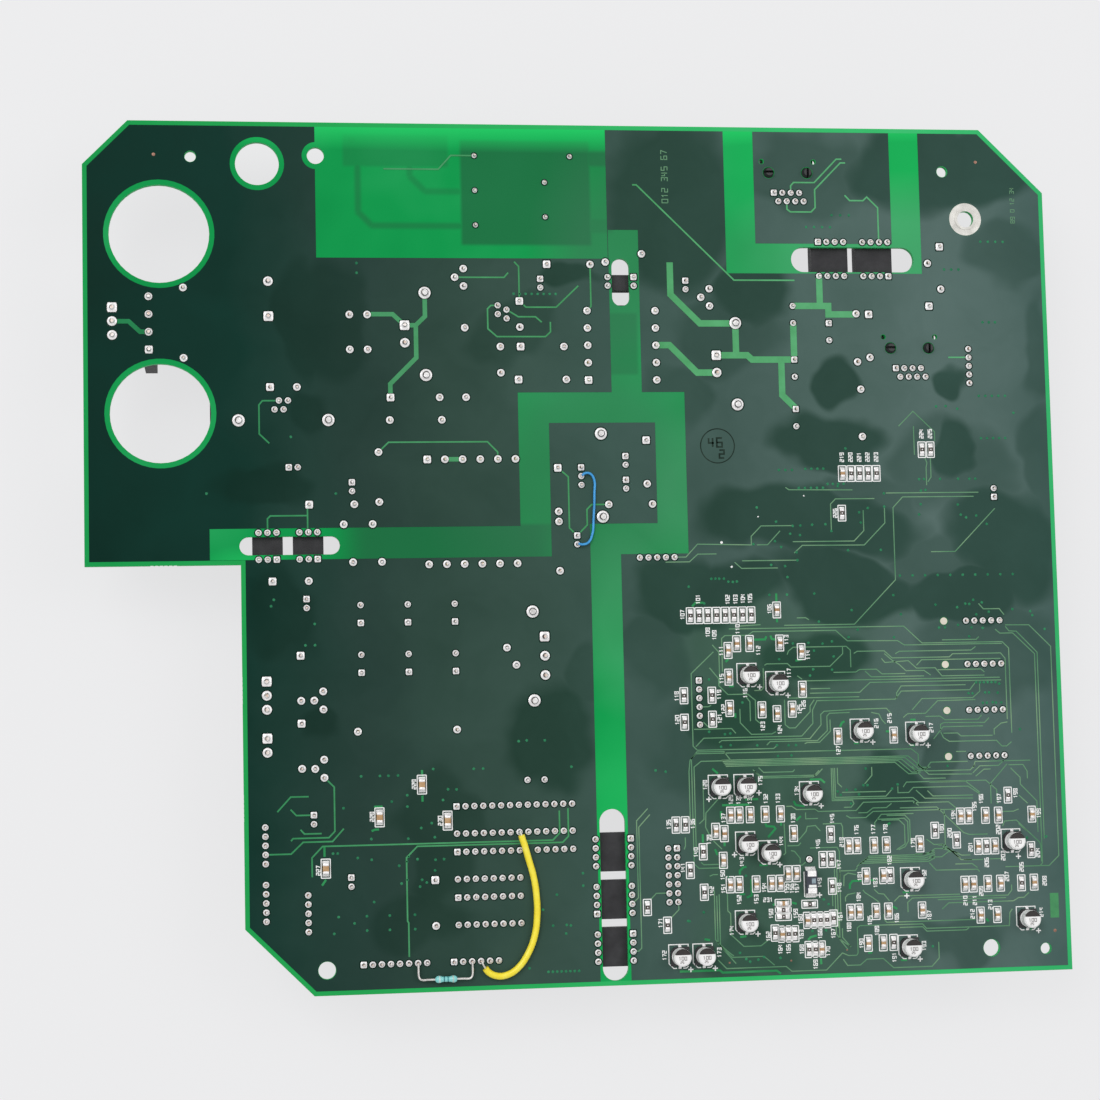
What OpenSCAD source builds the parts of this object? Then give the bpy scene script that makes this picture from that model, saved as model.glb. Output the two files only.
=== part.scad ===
// Display control board: a populated circuit board, solder side up, lying on its tallest parts.
// Every place is in millimetres from the lower left corner of the board's bounding rectangle.
// A place is [across, up, turn]. The parts right of the isolation barrier follow the right edge.

/* [Board] */
// Width of the board's bounding rectangle
board_w = 282; // [278:0.5:320]
// Depth of the board's bounding rectangle
board_d = 248.4; // [246:0.2:290]
// Thickness of the laminate
board_t = 1.6; // [0.8:0.1:3.2]
// Width of the notch at the lower left
notch_w = 43.4; // [36:0.2:46]
// Height of the notch at the lower left
notch_h = 121; // [100:0.5:122]
// Corner cut at the upper left
cut_upper_left = 12.8; // [4:0.2:16]
// Corner cut at the upper right
cut_upper_right = 19; // [6:0.5:22]
// Corner cut at the lower left
cut_lower_left = 19; // [6:0.5:20]
// Height of the tallest parts under the board, which it lies on
stand_h = 25.4; // [22:0.2:40]

/* [Holes and slots] */
// Diameter of the two large clearance holes
big_hole_d = 28.3; // [20:0.1:29]
// Diameter of the medium clearance hole
mid_hole_d = 12.5; // [8:0.1:14]
// Diameter of the four mounting holes
mount_hole_d = 4.9; // [3:0.1:6]
// Diameter of the three tooling holes
tool_hole_d = 3.2; // [2:0.1:4]
// Width of the slots over the wide optocouplers
wide_slot_w = 7.4; // [6:0.1:7.8]
// Width of the slots over the narrow optocouplers
narrow_slot_w = 5.2; // [4:0.1:5.6]
// Diameter of the drilled bites along the break-off edges
bite_d = 1; // [0.6:0.1:1.2]
// Outer diameter of the tinned land round the earthed mounting hole
land_d = 9.7; // [8:0.1:12]

/* [Copper] */
// Width of the copper-free isolation strips
strip_w = 8.9; // [8.5:0.1:9.5]
// Copper-free border along the edges
border_w = 1.3; // [0.6:0.1:2.5]
// Copper-free ring round the clearance holes
ring_w = 1.5; // [0.5:0.1:2.5]
// Thickness of the copper planes under the mask
plane_t = 0.05; // [0.03:0.01:0.1]
// Height of the tracks
track_t = 0.06; // [0.03:0.01:0.1]
// Width of the power tracks
power_track_w = 1.9; // [1:0.1:2.2]
// Width of the medium tracks
medium_track_w = 1.3; // [0.6:0.1:1.5]
// Width of the signal tracks
signal_track_w = 0.45; // [0.2:0.05:0.6]

/* [Leads and joints] */
// Lead pitch of the integrated circuits and headers
pitch = 2.54; // [2.5:0.01:2.6]
// Lead diameter of the small parts
lead_d = 0.7; // [0.5:0.05:0.8]
// Lead diameter of the power parts
power_lead_d = 1.1; // [0.8:0.05:1.3]
// Diameter of the heat sinks' solder pegs
peg_d = 2; // [1.4:0.1:2.4]
// Clearance round a lead in its drilled hole
drill_gap = 0.12; // [0.05:0.01:0.2]
// Pad diameter of the fine joints
fine_pad_d = 1.5; // [1.3:0.1:1.6]
// Pad diameter of the small joints
small_pad_d = 1.9; // [1.6:0.1:2.1]
// Pad diameter of the medium joints
medium_pad_d = 2.3; // [1.8:0.1:2.5]
// Pad diameter of the power joints
power_pad_d = 2.9; // [2.2:0.1:3.3]
// Pad diameter of the heat sinks' pegs
peg_pad_d = 3.7; // [3:0.1:4.2]
// Height of a solder joint
joint_h = 0.9; // [0.5:0.1:1.3]
// Length of lead that stands out of a joint
stub_h = 0.35; // [0.1:0.05:0.6]

/* [Parts on the solder side] */
// Length of a chip's ceramic body
chip_l = 2; // [1.6:0.1:2.2]
// Width of a chip
chip_w = 1.25; // [0.8:0.05:1.5]
// Height of a chip capacitor
chip_cap_h = 0.95; // [0.5:0.05:1.3]
// Height of a chip resistor
chip_res_h = 0.55; // [0.3:0.05:0.7]
// Length of the solder fillet at each chip end
fillet_l = 0.75; // [0.4:0.05:0.9]
// Diameter of the surface-mounted can capacitors
can_d = 5; // [4:0.1:5.2]
// Height of the surface-mounted can capacitors
can_h = 5.4; // [4:0.1:7]
// Side of the can capacitors' plastic base
can_base_w = 5.3; // [5.3:0.1:5.8]
// Diameter of the insulated jumper wire
wire_d = 1.9; // [1.4:0.1:2.2]
// Diameter of the fine jumper wire
fine_wire_d = 0.7; // [0.5:0.05:0.9]

/* [Parts under the board] */
// Diameter of the main storage capacitor
main_cap_d = 25; // [18:0.5:25]
// Diameter of the filter capacitors
filter_cap_d = 12.5; // [8:0.5:13]
// Diameter of the output capacitors
output_cap_d = 10; // [8:0.5:11]
// Diameter of the axial diodes and inductors
axial_d = 3.6; // [2.4:0.1:3.7]
// Length of the long heat sinks
long_sink_l = 41.4; // [34:0.2:42]
// Length of the short heat sinks
short_sink_l = 30; // [28:0.5:31]
// Thickness of the heat sinks' back plate
sink_t = 4; // [3:0.1:4.2]
// Depth of the heat sinks' side wings
wing_l = 8; // [5:0.5:9]
// Body length of the eight-lead optocouplers
opto_l = 11; // [10:0.1:11.4]
// Side of the modular jacks along their contact row
jack_w = 15.8; // [15:0.1:16]
// Height of the modular jacks
jack_h = 16; // [14:0.5:21]

/* [Hidden] */
$fn = 32;

// Levels: the underside is stand_h up, and the solder side one board higher.
board_top = stand_h + board_t;
plane_top = board_top + plane_t;
lead_top = board_t + joint_h + stub_h;
// How far a lead reaches into its part's body
lead_root = 1.2;
// Gap between the board and the bodies of parts that don't sit flat on it
body_gap = 0.4;
// Width that the layout was drawn for
layout_w = 282;
east_shift = board_w - layout_w;
// How far cutting shapes run past the faces that they cut
past = 1;

function turned(p, a) = [p[0] * cos(a) - p[1] * sin(a), p[0] * sin(a) + p[1] * cos(a)];
function placed(at, p) = [at[0], at[1]] + turned(p, at[2]);
function east(places) = [for (p = places) [p[0] + east_shift, p[1], p[2]]];
function row(count, step) = [for (i = [0:count - 1]) [i * step, 0]];
function two_rows(count, step, apart) = concat(
    row(count, step), [for (p = row(count, step)) p - [0, apart]]
);

// Lead patterns, first lead at the origin
dip_apart = 7.65;
opto_apart = 10.18;
transformer_pitch = 2 * pitch;
header_pitch = 3.96;
power_pitch = 5.5;
main_cap_span = 10.1;
crystal_span = 4.9;
jack_peg_up = 6;
jack_pegs = [[-1.4, jack_peg_up], [10.1, jack_peg_up]];
jack_vents = [[-3.5, 9.3], [12.1, 9.3]];
jack_pins = concat(row(4, pitch), [for (p = row(4, pitch)) p + [pitch / 2, -pitch]]);
transistor_pins = [[0, pitch], [-pitch, 0], [0, -pitch]];
zigzag_pins = [[0, 0], [pitch / 2, pitch], [pitch, 0], [1.5 * pitch, pitch]];
choke_pins = [[0, 0], [5.1, 0], [0, 10.1], [5.1, 10.1]];
relay_pins = [[0, 0], [0, -10.2], [0, -20.4], [27.9, 0], [20.4, -7.7], [20.4, -17.9]];

// Places of the parts with leads, first lead's position
microcontroller_at = [[103.1, 51.7, 0]];
logic_at = [[103.1, 38.9, 0], [103.1, 26.1, 0]];
lower_optos_at = [[152.8, 41.4, -90], [142.6, 20.3, 90], [152.8, 14.5, -90]];
upper_optos_at = east([[213, 214.3, 0], [234, 204.1, 180]]);
left_optos_at = [[53.5, 122.4, 180], [65, 122.4, 180]];
small_opto_at = [[157.7, 203.6, -90]];
networks_at = concat(
    [[49.3, 47.2, -90], [49.3, 31.2, -90], [61, 28, -90], [126, 38.9, 0]],
    east([[157.5, 121.7, 0], [257.5, 182.4, -90]])
);
row_headers_at = [[76.2, 8.2, 0, 8], [101.6, 8.2, 0, 6], [173.8 + east_shift, 86, -90, 6]];
block_header_at = east([[166.1, 38.2, -90]]);
power_headers_at = [[8.1, 194.5, -90, 3], [50.2, 88, -90, 3], [50.2, 72, -90, 2]];
side_header_u = 253.8;
side_headers_at = east([for (v = [102, 89.3, 75.9, 62.5]) [side_header_u, v, 0]]);
jacks_at = east([[200.2, 228.9, 0], [235.3, 176.7, 0]]);
main_transformer_at = [[96.6, 150.6, 0]];
small_transformer_at = [[143.8, 173.4, 90]];
relay_at = [[111.8, 239.1, 0]];
choke_at = [[75, 182.4, 0]];
bridge_at = [[18.3, 182.4, 90]];
main_cap_at = [[52, 192, 90]];
filter_caps_at = [for (v = [104.1, 90], u = [76.9, 90.3, 103.7]) [u, v, 90]];
output_caps_at = east([[204.8, 179.3, -90], [204.8, 164.7, -90], [215.5, 190.1, -90]]);
unmarked_cap_at = east([[204.8, 190.1, 90]]);
small_caps_at = concat(
    [
        [57.2, 148.6, 0], [75, 144.2, -90], [61.7, 111.1, -90], [62.9, 50.3, -90], [73.1, 32.6, -90],
        [130.3, 203, -90], [139.4, 128.3, -90], [154, 151.2, -90], [154, 144.3, -90]
    ],
    east([[173, 202.6, -90], [263.7, 138.4, 90]])
);
crystal_at = [[123.5, 58.7, 0]];
transistors_at = concat([[108, 203.4, 0], [66, 82.4, 0], [66, 63.2, 0]], east([[180, 197.7, 0]]));
input_switch_at = [[53.4, 165.2, 0]];
control_switch_at = [[120.3, 191.4, 90]];
left_rectifier_at = [[90.8, 189.4, -90]];
right_rectifier_at = east([[181.6, 180.6, -90]]);
regulator_at = [[141, 148, -90]];
power_transistor_at = [[129.3, 99.4, -90]];

// Two-lead parts lying flat: [across, up, turn, lead span]
diodes_at = concat(
    [
        [62.8, 137.9, 0, 12.8], [59.8, 95.1, -90, 12.7], [59.8, 76, -90, 12.7], [96.7, 31.2, -90, 12.8],
        [124.2, 183.2, 0, 12.6], [123.4, 173.6, 0, 13.9], [132.3, 207.3, 0, 12.7], [86.4, 168.5, 0, 14.1],
        [134.2, 147.9, -90, 12.6], [160.2, 155.8, -90, 12.7]
    ],
    [for (p = [[227.6, 192.7, -90, 12.8], [246, 195.2, 90, 12.8], [249.8, 213, -90, 12.7]])
        p + [east_shift, 0, 0, 0]]
);
small_diodes_at = [[52.2, 171.6, 0, 7.6], [124.1, 196.5, -90, 7.6], [52.2, 116.2, 0, 10.2]];
resistors_at = concat(
    [[82.7, 152.8, -90, 14.3], [134.2, 132.4, -90, 14.2], [148.8, 137.2, 0, 12.8], [118.3, 183.2, -90, 7.6]],
    [for (p = [[223.8, 192.9, -90, 14.3], [224.5, 170.5, -90, 14]]) p + [east_shift, 0, 0, 0]]
);
power_resistors_at = [[28, 200.2, -90, 20.2], [108.1, 188.7, -90, 20.2]];
film_caps_at = [[75.6, 73.4, 0, 28.1], [86.1, 162, 0, 14.9]];
// Discs on edge: [across, up, turn, lead span, lean]
disc_caps_at = [
    [72.5, 132.2, -77, 11.1, 0], [80.7, 132.2, -77, 11.1, 0], [149.5, 208, 13, 11, 60], [118.4, 96.4, -62, 5.6, 0]
];

// Heat sinks: [across, up, turn, peg span, plate's face from the pegs' line, length, ribs]
left_sink = [96.7, 186.9, 0, 23.9, -3.2, short_sink_l, 7];
middle_sink = [147, 145.7, 0, 24.1, -3.3, short_sink_l, 0];
right_sink = [187.5 + east_shift, 178.1, 0, 24, -3.2, short_sink_l, 7];
input_sink = [55.9, 162.1, -90, 25.4, -1.2, long_sink_l, 9];
lower_sink = [126, 93.9, 180, 25.4, -0.9, long_sink_l, 0];
sinks = [left_sink, middle_sink, right_sink, input_sink, lower_sink];

// A joint is [across, up, pad diameter, lead diameter, square pad]
function joints(places, pins, pad, lead, first_square = true) = [
    for (at = places, i = [0:len(pins) - 1])
        let (p = placed(at, pins[i])) [p[0], p[1], pad, lead, first_square && i == 0]
];
function span_joints(places, pad, lead, first_square) = [
    for (at = places) each joints([at], [[0, 0], [at[3], 0]], pad, lead, first_square)
];
function row_joints(places, step, pad, lead) = [
    for (at = places) each joints([at], row(at[3], step), pad, lead)
];
function peg_pins(s) = [[0, s[3] / 2], [0, -s[3] / 2]];
function peg_joints(list) = [for (s = list) each joints([s], peg_pins(s), peg_pad_d, peg_d, false)];

pins_28 = two_rows(14, pitch, dip_apart);
pins_16 = two_rows(8, pitch, dip_apart);
opto_pins_8 = two_rows(4, pitch, opto_apart);
opto_pins_6 = two_rows(3, pitch, dip_apart);
opto_pins_4 = two_rows(2, pitch, dip_apart);
main_transformer_apart = 30.1;
small_transformer_apart = 20;
main_transformer_pins = two_rows(6, transformer_pitch, main_transformer_apart);
small_transformer_pins = two_rows(5, transformer_pitch, small_transformer_apart);
block_header_pins = two_rows(7, pitch, pitch);
all_joints = concat(
    joints(microcontroller_at, pins_28, small_pad_d, lead_d),
    joints(logic_at, pins_16, small_pad_d, lead_d),
    joints(concat(lower_optos_at, upper_optos_at), opto_pins_8, small_pad_d, lead_d),
    joints(left_optos_at, opto_pins_6, small_pad_d, lead_d),
    joints(small_opto_at, opto_pins_4, small_pad_d, lead_d),
    joints(networks_at, row(5, pitch), small_pad_d, lead_d, false),
    row_joints(row_headers_at, pitch, small_pad_d, lead_d),
    joints(block_header_at, block_header_pins, small_pad_d, lead_d),
    row_joints(power_headers_at, header_pitch, power_pad_d, power_lead_d),
    joints(side_headers_at, row(5, pitch), small_pad_d, lead_d, false),
    joints(jacks_at, jack_pins, small_pad_d, lead_d),
    joints(main_transformer_at, main_transformer_pins, medium_pad_d, lead_d),
    joints(small_transformer_at, small_transformer_pins, medium_pad_d, lead_d),
    joints(relay_at, relay_pins, fine_pad_d, lead_d, false),
    joints(choke_at, choke_pins, medium_pad_d, lead_d, false),
    joints(bridge_at, row(4, transformer_pitch), medium_pad_d, power_lead_d),
    joints(main_cap_at, row(2, main_cap_span), power_pad_d, power_lead_d),
    joints(concat(filter_caps_at, output_caps_at), row(2, transformer_pitch), small_pad_d, lead_d),
    joints(unmarked_cap_at, row(2, transformer_pitch), small_pad_d, lead_d, false),
    joints(small_caps_at, row(2, pitch), small_pad_d, lead_d),
    joints(crystal_at, row(2, crystal_span), small_pad_d, lead_d, false),
    joints(transistors_at, transistor_pins, medium_pad_d, lead_d, false),
    joints(concat(input_switch_at, control_switch_at), zigzag_pins, small_pad_d, lead_d, false),
    joints(left_rectifier_at, row(2, transformer_pitch), power_pad_d, power_lead_d),
    joints(right_rectifier_at, row(2, transformer_pitch), power_pad_d, power_lead_d),
    joints(regulator_at, row(3, pitch), small_pad_d, lead_d),
    joints(power_transistor_at, row(3, power_pitch), power_pad_d, power_lead_d),
    span_joints(diodes_at, medium_pad_d, lead_d, true),
    span_joints(small_diodes_at, medium_pad_d, lead_d, true),
    span_joints(concat(resistors_at, power_resistors_at), medium_pad_d, lead_d, false),
    span_joints(concat(film_caps_at, disc_caps_at), medium_pad_d, lead_d, false),
    peg_joints(sinks)
);

// The patch resistor: middle, distance from the lower edge, body length, height, lead diameter
patch_middle = 99.2;
patch_v = 3.6;
patch_l = 6.7;
patch_up = 1.2;
patch_lead_d = 0.65;

// Holes: [across, up]
big_holes = [[21.4, 215.7], [21.4, 164.2]];
mid_hole = [49.3, 236.2];
land_at = [258 + east_shift, 221.3];
mount_holes = [[66, 7], [66, 238.7], [258 + east_shift, 7], land_at];
tool_holes = [[30.4, 238.1], [251.4 + east_shift, 235.6], [274.3 + east_shift, 6.3]];
header_peg_d = 2.1;
header_peg_back = 6.7;
jack_peg_d = 3.1;
vent_d = 1.4;
peg_gap = 0.1;
// Gap between a solder pad and the plane round it
pad_gap = 0.06;

// Slots: [across, up, length along the slot, turn, width]
barrier_u = 147.6;
slots = [
    [barrier_u, 25.6, 48.5, 90, wide_slot_w],
    [223.3 + east_shift, 209, 37, 0, wide_slot_w],
    [57.2, 126.3, 28.3, 0, narrow_slot_w],
    [153.9, 202.1, 14, 90, narrow_slot_w]
];

// Break-off edges: [across, up, turn] of the first bite
bites_at = [[18.6, notch_h, 0], [notch_w, 82.4, 90], [notch_w, 49.4, 90]];
bite_count = 6;
bite_step = 1.3;

// Copper-free strips between the planes: [from, to]
strip_half = strip_w / 2;
strips = [
    [[barrier_u, -past], [barrier_u, 127.2]],
    [[barrier_u, 127.2], [167.4, 127.2]],
    [[167.4, 127.2], [167.4, 165.4]],
    [[127.5, 165.4], [167.4, 165.4]],
    [[127.5, 126.8], [127.5, 165.4]],
    [[39.2, 126.8], [127.5, 126.8]],
    [[154.9, 165.4], [154.9, 213.1]],
    [[189.8 + east_shift, 209.3], [189.8 + east_shift, board_d + strip_w]],
    [[189.8 + east_shift, 209.3], [239.8 + east_shift, 209.3]],
    [[239.8 + east_shift, 209.3], [239.8 + east_shift, board_d + strip_w]]
];
field_from = [65.8, 209];
field_to_u = 150.3;

// Tracks, each a line of corners
power_tracks = [
    [[168.5, 208], [168.5, 198.5], [177, 190], [187.5, 190], [187.5, 180.6]],
    [[181.6, 180.6], [190.8, 180.6], [192.2, 179.3], [204.8, 179.3], [204.8, 190.1]],
    [[200.9, 179.3], [200.9, 168.8], [204.8, 164.9]],
    [[163.8, 183.6], [167.8, 183.6], [175.8, 175.5], [181.6, 175.5]],
    [[213, 204.1], [213, 195.2]],
    [[204.8, 195.2], [215.5, 195.2], [215.5, 192.7], [223.8, 192.7]]
];
medium_tracks = [
    [[8.1, 190.5], [12.7, 190.5], [15.9, 187.5], [18.3, 187.5]],
    [[80.1, 192.6], [87.4, 192.6], [90.8, 189.4], [94, 189.4]],
    [[96.7, 198.8], [96.7, 192], [94, 189.4], [94, 180], [86.4, 172.4], [86.4, 168.5]],
    [[101.7, 150.6], [106.8, 150.6]]
];
signal_tracks = [
    [[54.7, 167.7], [50, 167.7], [49, 166.5], [49, 158.2], [51.8, 155.5]],
    [[51, 130.1], [51, 134], [51.8, 134.8], [62.3, 134.8], [62.3, 130.1]],
    [[62.3, 134.8], [62.3, 137.9]],
    [[85.5, 235], [101.3, 235], [105, 239.1], [111.8, 239.1]],
    [[105.5, 203.4], [119.8, 203.4], [121, 204.8]],
    [[122.8, 208], [124.1, 206.6], [124.1, 196.5], [126, 194.7], [134.8, 194.7], [141.4, 201]],
    [[117.7, 195.2], [115.8, 195.2], [114.8, 194.2], [114.8, 188.4], [117.4, 186.1], [131.5, 186.1],
        [133, 187.5], [133, 190.4]],
    [[120.3, 194], [123.7, 191.9], [128.7, 191.9], [130.5, 190.3]],
    [[145, 207.3], [145, 195], [143.8, 193.7]],
    [[82.7, 152.8], [85.6, 155.6], [114, 155.6], [116.9, 152.6], [116.9, 150.6]],
    [[134.2, 147.9], [137.2, 145.3], [137.2, 130.5], [139.4, 128.3], [142.4, 131.3], [142.4, 135.8],
        [143.8, 137.2], [148.8, 137.2]],
    [[66, 60.7], [68.7, 58], [68.7, 45.6], [67, 43.9], [57, 43.9], [56.4, 43.2]],
    [[49.3, 39.6], [56.4, 39.6], [59.8, 42.8], [68, 42.8], [71.2, 46.3]],
    [[62.9, 50.3], [58, 50.3], [56.4, 52]],
    [[61.5, 55.5], [56.5, 55.5], [52.7, 51.4]],
    [[59.1, 46.3], [60.2, 45.1], [65, 45.1]],
    [[62.2, 33], [62.2, 38.4], [65.2, 41.5], [130.4, 41.5], [132.4, 43.5], [132.4, 49.8]],
    [[89, 10], [89, 19.5], [88.7, 20], [88.7, 37.7], [91.8, 40.8], [133.2, 40.8], [134.9, 42.5],
        [134.9, 50.4]]
];

east_signal_tracks = [
    [[158, 230.9], [159.2, 230.9], [187.5, 202.8], [205.6, 202.8]],
    [[205.3, 228.9], [205.3, 231], [206.2, 232], [212.4, 232], [219.3, 239.1], [220.9, 239.1]],
    [[204, 226.4], [204, 224], [205, 223.2], [211.2, 223.2], [212.5, 224.5], [212.5, 229.9], [220.5, 238],
        [222, 238]],
    [[221.5, 228.3], [223, 226.7], [227, 226.7], [228.2, 227.8], [231.4, 224.6], [231.4, 214.3]],
    [[257.5, 179.9], [251.3, 179.9]]
];

// Surface-mounted parts right of the barrier: [across, up, turn]
chip_caps_at = concat(
    [for (v = [37.5, 18.5], u = [216.4, 218.9, 223.9, 227.6, 237.6]) [u, v, 90]],
    [for (u = [182, 184.5, 187.7, 192.1, 196.6]) [u, 47.2, 90]],
    [for (u = [250, 252.5, 257.5, 261.4, 271.5]) [u, 45.2, 90]],
    [for (u = [181.3, 183.9, 188.9, 193.4, 196]) [u, 27.4, 90]],
    [for (u = [250.6, 253.1, 257.5, 261.3, 271.4]) [u, 25.5, 90]],
    [for (u = [185.2, 189, 197.9]) [u, 96.4, 90]],
    [for (u = [192.1, 201]) [u, 77.2, 90]],
    [for (u = [221.3, 226.4]) [u, 28.7, 90]],
    [for (u = [221.3, 225.7]) [u, 9.5, 90]],
    [for (u = [198.3, 200.8]) [u, 30, 90]],
    [for (u = [255, 260]) [u, 36.3, 90]],
    [for (u = [255, 260]) [u, 16.5, 90]],
    [for (u = [214.3, 230.9]) [u, 69.1, 90]],
    [
        [197.3, 106, 90], [182.6, 94.5, 90], [204.2, 93.8, 90], [182.6, 86.8, 90], [182.6, 77.8, 90],
        [196.5, 76, 90], [204.2, 82.9, 90], [177.5, 42.7, 90], [180, 42, 90], [200.3, 41.5, 90],
        [179.5, 34.4, 90], [196.1, 12.9, 90], [203.6, 16.6, 90], [207.5, 8.3, 90], [218.1, 145.6, 90],
        [196.6, 21.7, 0]
    ]
);
chip_resistors_at = concat(
    [for (i = [0:7]) [171.8 + i * 2.56, 104.7, 90]],
    [for (i = [0:3]) [220.7 + i * 2.54, 145.6, 90]],
    [for (u = [169.3, 177.5]) [u, 81.7, 90]],
    [for (u = [166, 168.7]) [u, 44.8, 90]],
    [for (u = [242.3, 244.9]) [u, 152.5, 90]],
    [for (u = [208.7, 211.2]) [u, 33.8, 90]],
    [for (u = [203.8, 205.7]) [u, 8.3, 90]],
    [for (u = [197.9, 199.8]) [u, 12.9, 90]],
    [for (u = [205.5, 207.4, 209.3]) [u, 16.6, 90]],
    [for (v = [19.8, 17.9]) [196.6, v, 0]],
    [
        [169.3, 74.1, 90], [177.5, 74.8, 90], [173.7, 37, 90], [169.8, 31.8, 90], [173.7, 25.5, 90],
        [162.8, 16.5, 90], [157.1, 21.7, 90], [194, 13.3, 90], [211.2, 41, 90], [211.2, 26.1, 90],
        [211.3, 17, 90], [242.2, 41.3, 90], [228.4, 28.7, 90], [228.8, 9.5, 90], [264.5, 50.9, 90],
        [248.6, 38.3, 90], [257.5, 36.3, 90], [270.9, 34.9, 90], [267.6, 25.4, 90], [217.6, 134, 90],
        [204.4, 21.2, 0]
    ]
);
// The four larger chip capacitors left of the barrier
large_caps_at = [[66, 35.3, 90], [81.3, 49.2, 90], [93.4, 58.1, 90], [100.5, 47.8, 90]];
large_chip = 1.35;
cans_at = [
    [188.2, 87.3], [196.6, 84.8], [221.2, 70.6], [237.7, 69.4], [178.9, 55.4], [186.4, 55.4], [205.6, 52.9],
    [186.4, 39], [192.9, 36.3], [185.7, 16.6], [166.1, 7.6], [173.1, 7.6], [234.7, 27.4], [233.4, 8.1],
    [265.2, 37.7], [268.9, 15.2]
];
tantalum_at = [204.8, 27.6, -90];
test_pad_at = [204.7, 34];

// Frame of the layout, and of one part in it with the board's underside at zero
module layout() translate([-board_w / 2, -board_d / 2, 0]) children();
module part_at(at) layout() translate([at[0], at[1], stand_h]) rotate(at[2]) children();
module east_side() translate([east_shift, 0, 0]) children();

// Straight leads from the body up through the board
module leads(pins, d, root = lead_root)
    for (p = pins) translate([p[0], p[1], -root]) cylinder(d = d, h = root + lead_top);

// Board outline, drawn in from the edges by inset
module outline(inset) {
    slant = inset * (sqrt(2) - 1);
    left = inset;
    right = board_w - inset;
    low = inset;
    high = board_d - inset;
    polygon([
        [notch_w + inset, cut_lower_left + slant], [notch_w + cut_lower_left + slant, low], [right, low],
        [right, board_d - cut_upper_right - slant], [board_w - cut_upper_right - slant, high],
        [cut_upper_left + slant, high], [left, board_d - cut_upper_left - slant],
        [left, notch_h + inset], [notch_w + inset, notch_h + inset]
    ]);
}

module slot_shape(s) translate([s[0], s[1]]) rotate(s[3]) {
    straight = s[2] - s[4];
    square([straight, s[4]], center = true);
    for (side = [-1, 1]) translate([side * straight / 2, 0]) circle(d = s[4]);
}

module hole_shapes() {
    for (p = big_holes) translate(p) circle(d = big_hole_d);
    translate(mid_hole) circle(d = mid_hole_d);
    for (p = mount_holes) translate(p) circle(d = mount_hole_d);
    for (p = tool_holes) translate(p) circle(d = tool_hole_d);
    for (s = slots) slot_shape(s);
    peg_hole_shapes(peg_gap);
}

module peg_hole_shapes(gap) {
    for (at = side_headers_at)
        translate(placed(at, [-header_peg_back, 0])) circle(d = header_peg_d + 2 * gap);
    for (at = jacks_at) {
        for (p = jack_pegs) translate(placed(at, p)) circle(d = jack_peg_d + 2 * gap);
        for (p = jack_vents) translate(placed(at, p)) circle(d = vent_d - 2 * peg_gap + 2 * gap);
    }
}

module bite_shapes() for (at = bites_at, i = [0:bite_count - 1])
    translate(placed(at, [i * bite_step, 0])) circle(d = bite_d);

module drill_shapes() for (j = all_joints) translate([j[0], j[1]]) circle(d = j[3] + 2 * drill_gap);

module circuit_board() color([0.1, 0.62, 0.3]) layout() translate([0, 0, stand_h]) linear_extrude(board_t)
    difference() {
        outline(0);
        hole_shapes();
        bite_shapes();
        drill_shapes();
    }

module strip_shape(s) {
    lower = [min(s[0][0], s[1][0]), min(s[0][1], s[1][1])] - [strip_half, strip_half];
    upper = [max(s[0][0], s[1][0]), max(s[0][1], s[1][1])] + [strip_half, strip_half];
    translate(lower) square(upper - lower);
}

module plane_clearances() {
    for (s = strips) strip_shape(s);
    translate(field_from) square([field_to_u - field_from[0], board_d - field_from[1]]);
    for (p = big_holes) translate(p) circle(d = big_hole_d + 2 * ring_w);
    translate(mid_hole) circle(d = mid_hole_d + 2 * ring_w);
    for (p = mount_holes) translate(p) circle(d = mount_hole_d + 2 * peg_gap);
    translate(mount_holes[1]) circle(d = mount_hole_d + 2 * ring_w);
    translate(land_at) circle(d = land_d + 2 * pad_gap);
    for (p = tool_holes) translate(p) circle(d = tool_hole_d + 2 * peg_gap);
    peg_hole_shapes(2 * peg_gap);
    pad_shapes(pad_gap);
    track_shapes();
}

// One track: a line of corners widened on both sides, with mitred bends
function heading(a, b) = (b - a) / norm(b - a);
function left_of(d) = [-d[1], d[0]];
function mitre(line, i) = let (
    last = len(line) - 1,
    before = heading(line[max(i, 1) - 1], line[max(i, 1)]),
    after = heading(line[min(i, last - 1)], line[min(i, last - 1) + 1])
) (left_of(before) + left_of(after)) / (1 + before * after);
function track_edge(line, half) = [for (i = [0:len(line) - 1]) line[i] + half * mitre(line, i)];
function reversed(list) = [for (i = [len(list) - 1:-1:0]) list[i]];

module track_shape(line, w) polygon(concat(track_edge(line, w / 2), reversed(track_edge(line, -w / 2))));

module track_shapes() {
    translate([east_shift, 0]) {
        for (line = power_tracks) track_shape(line, power_track_w);
        for (line = east_signal_tracks) track_shape(line, signal_track_w);
    }
    for (line = medium_tracks) track_shape(line, medium_track_w);
    for (line = signal_tracks) track_shape(line, signal_track_w);
}

module copper_planes() color([0.1, 0.24, 0.2]) layout() translate([0, 0, board_top]) linear_extrude(plane_t)
    difference() {
        outline(border_w);
        plane_clearances();
    }

module pad_shapes(gap) for (j = all_joints) translate([j[0], j[1]]) {
    if (j[4]) square(j[2] + 2 * gap, center = true);
    else circle(d = j[2] + 2 * gap);
}

module copper_tracks() color([0.36, 0.7, 0.4]) layout() translate([0, 0, board_top])
    linear_extrude(plane_t + track_t) difference() {
        track_shapes();
        pad_shapes(pad_gap);
    }

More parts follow.
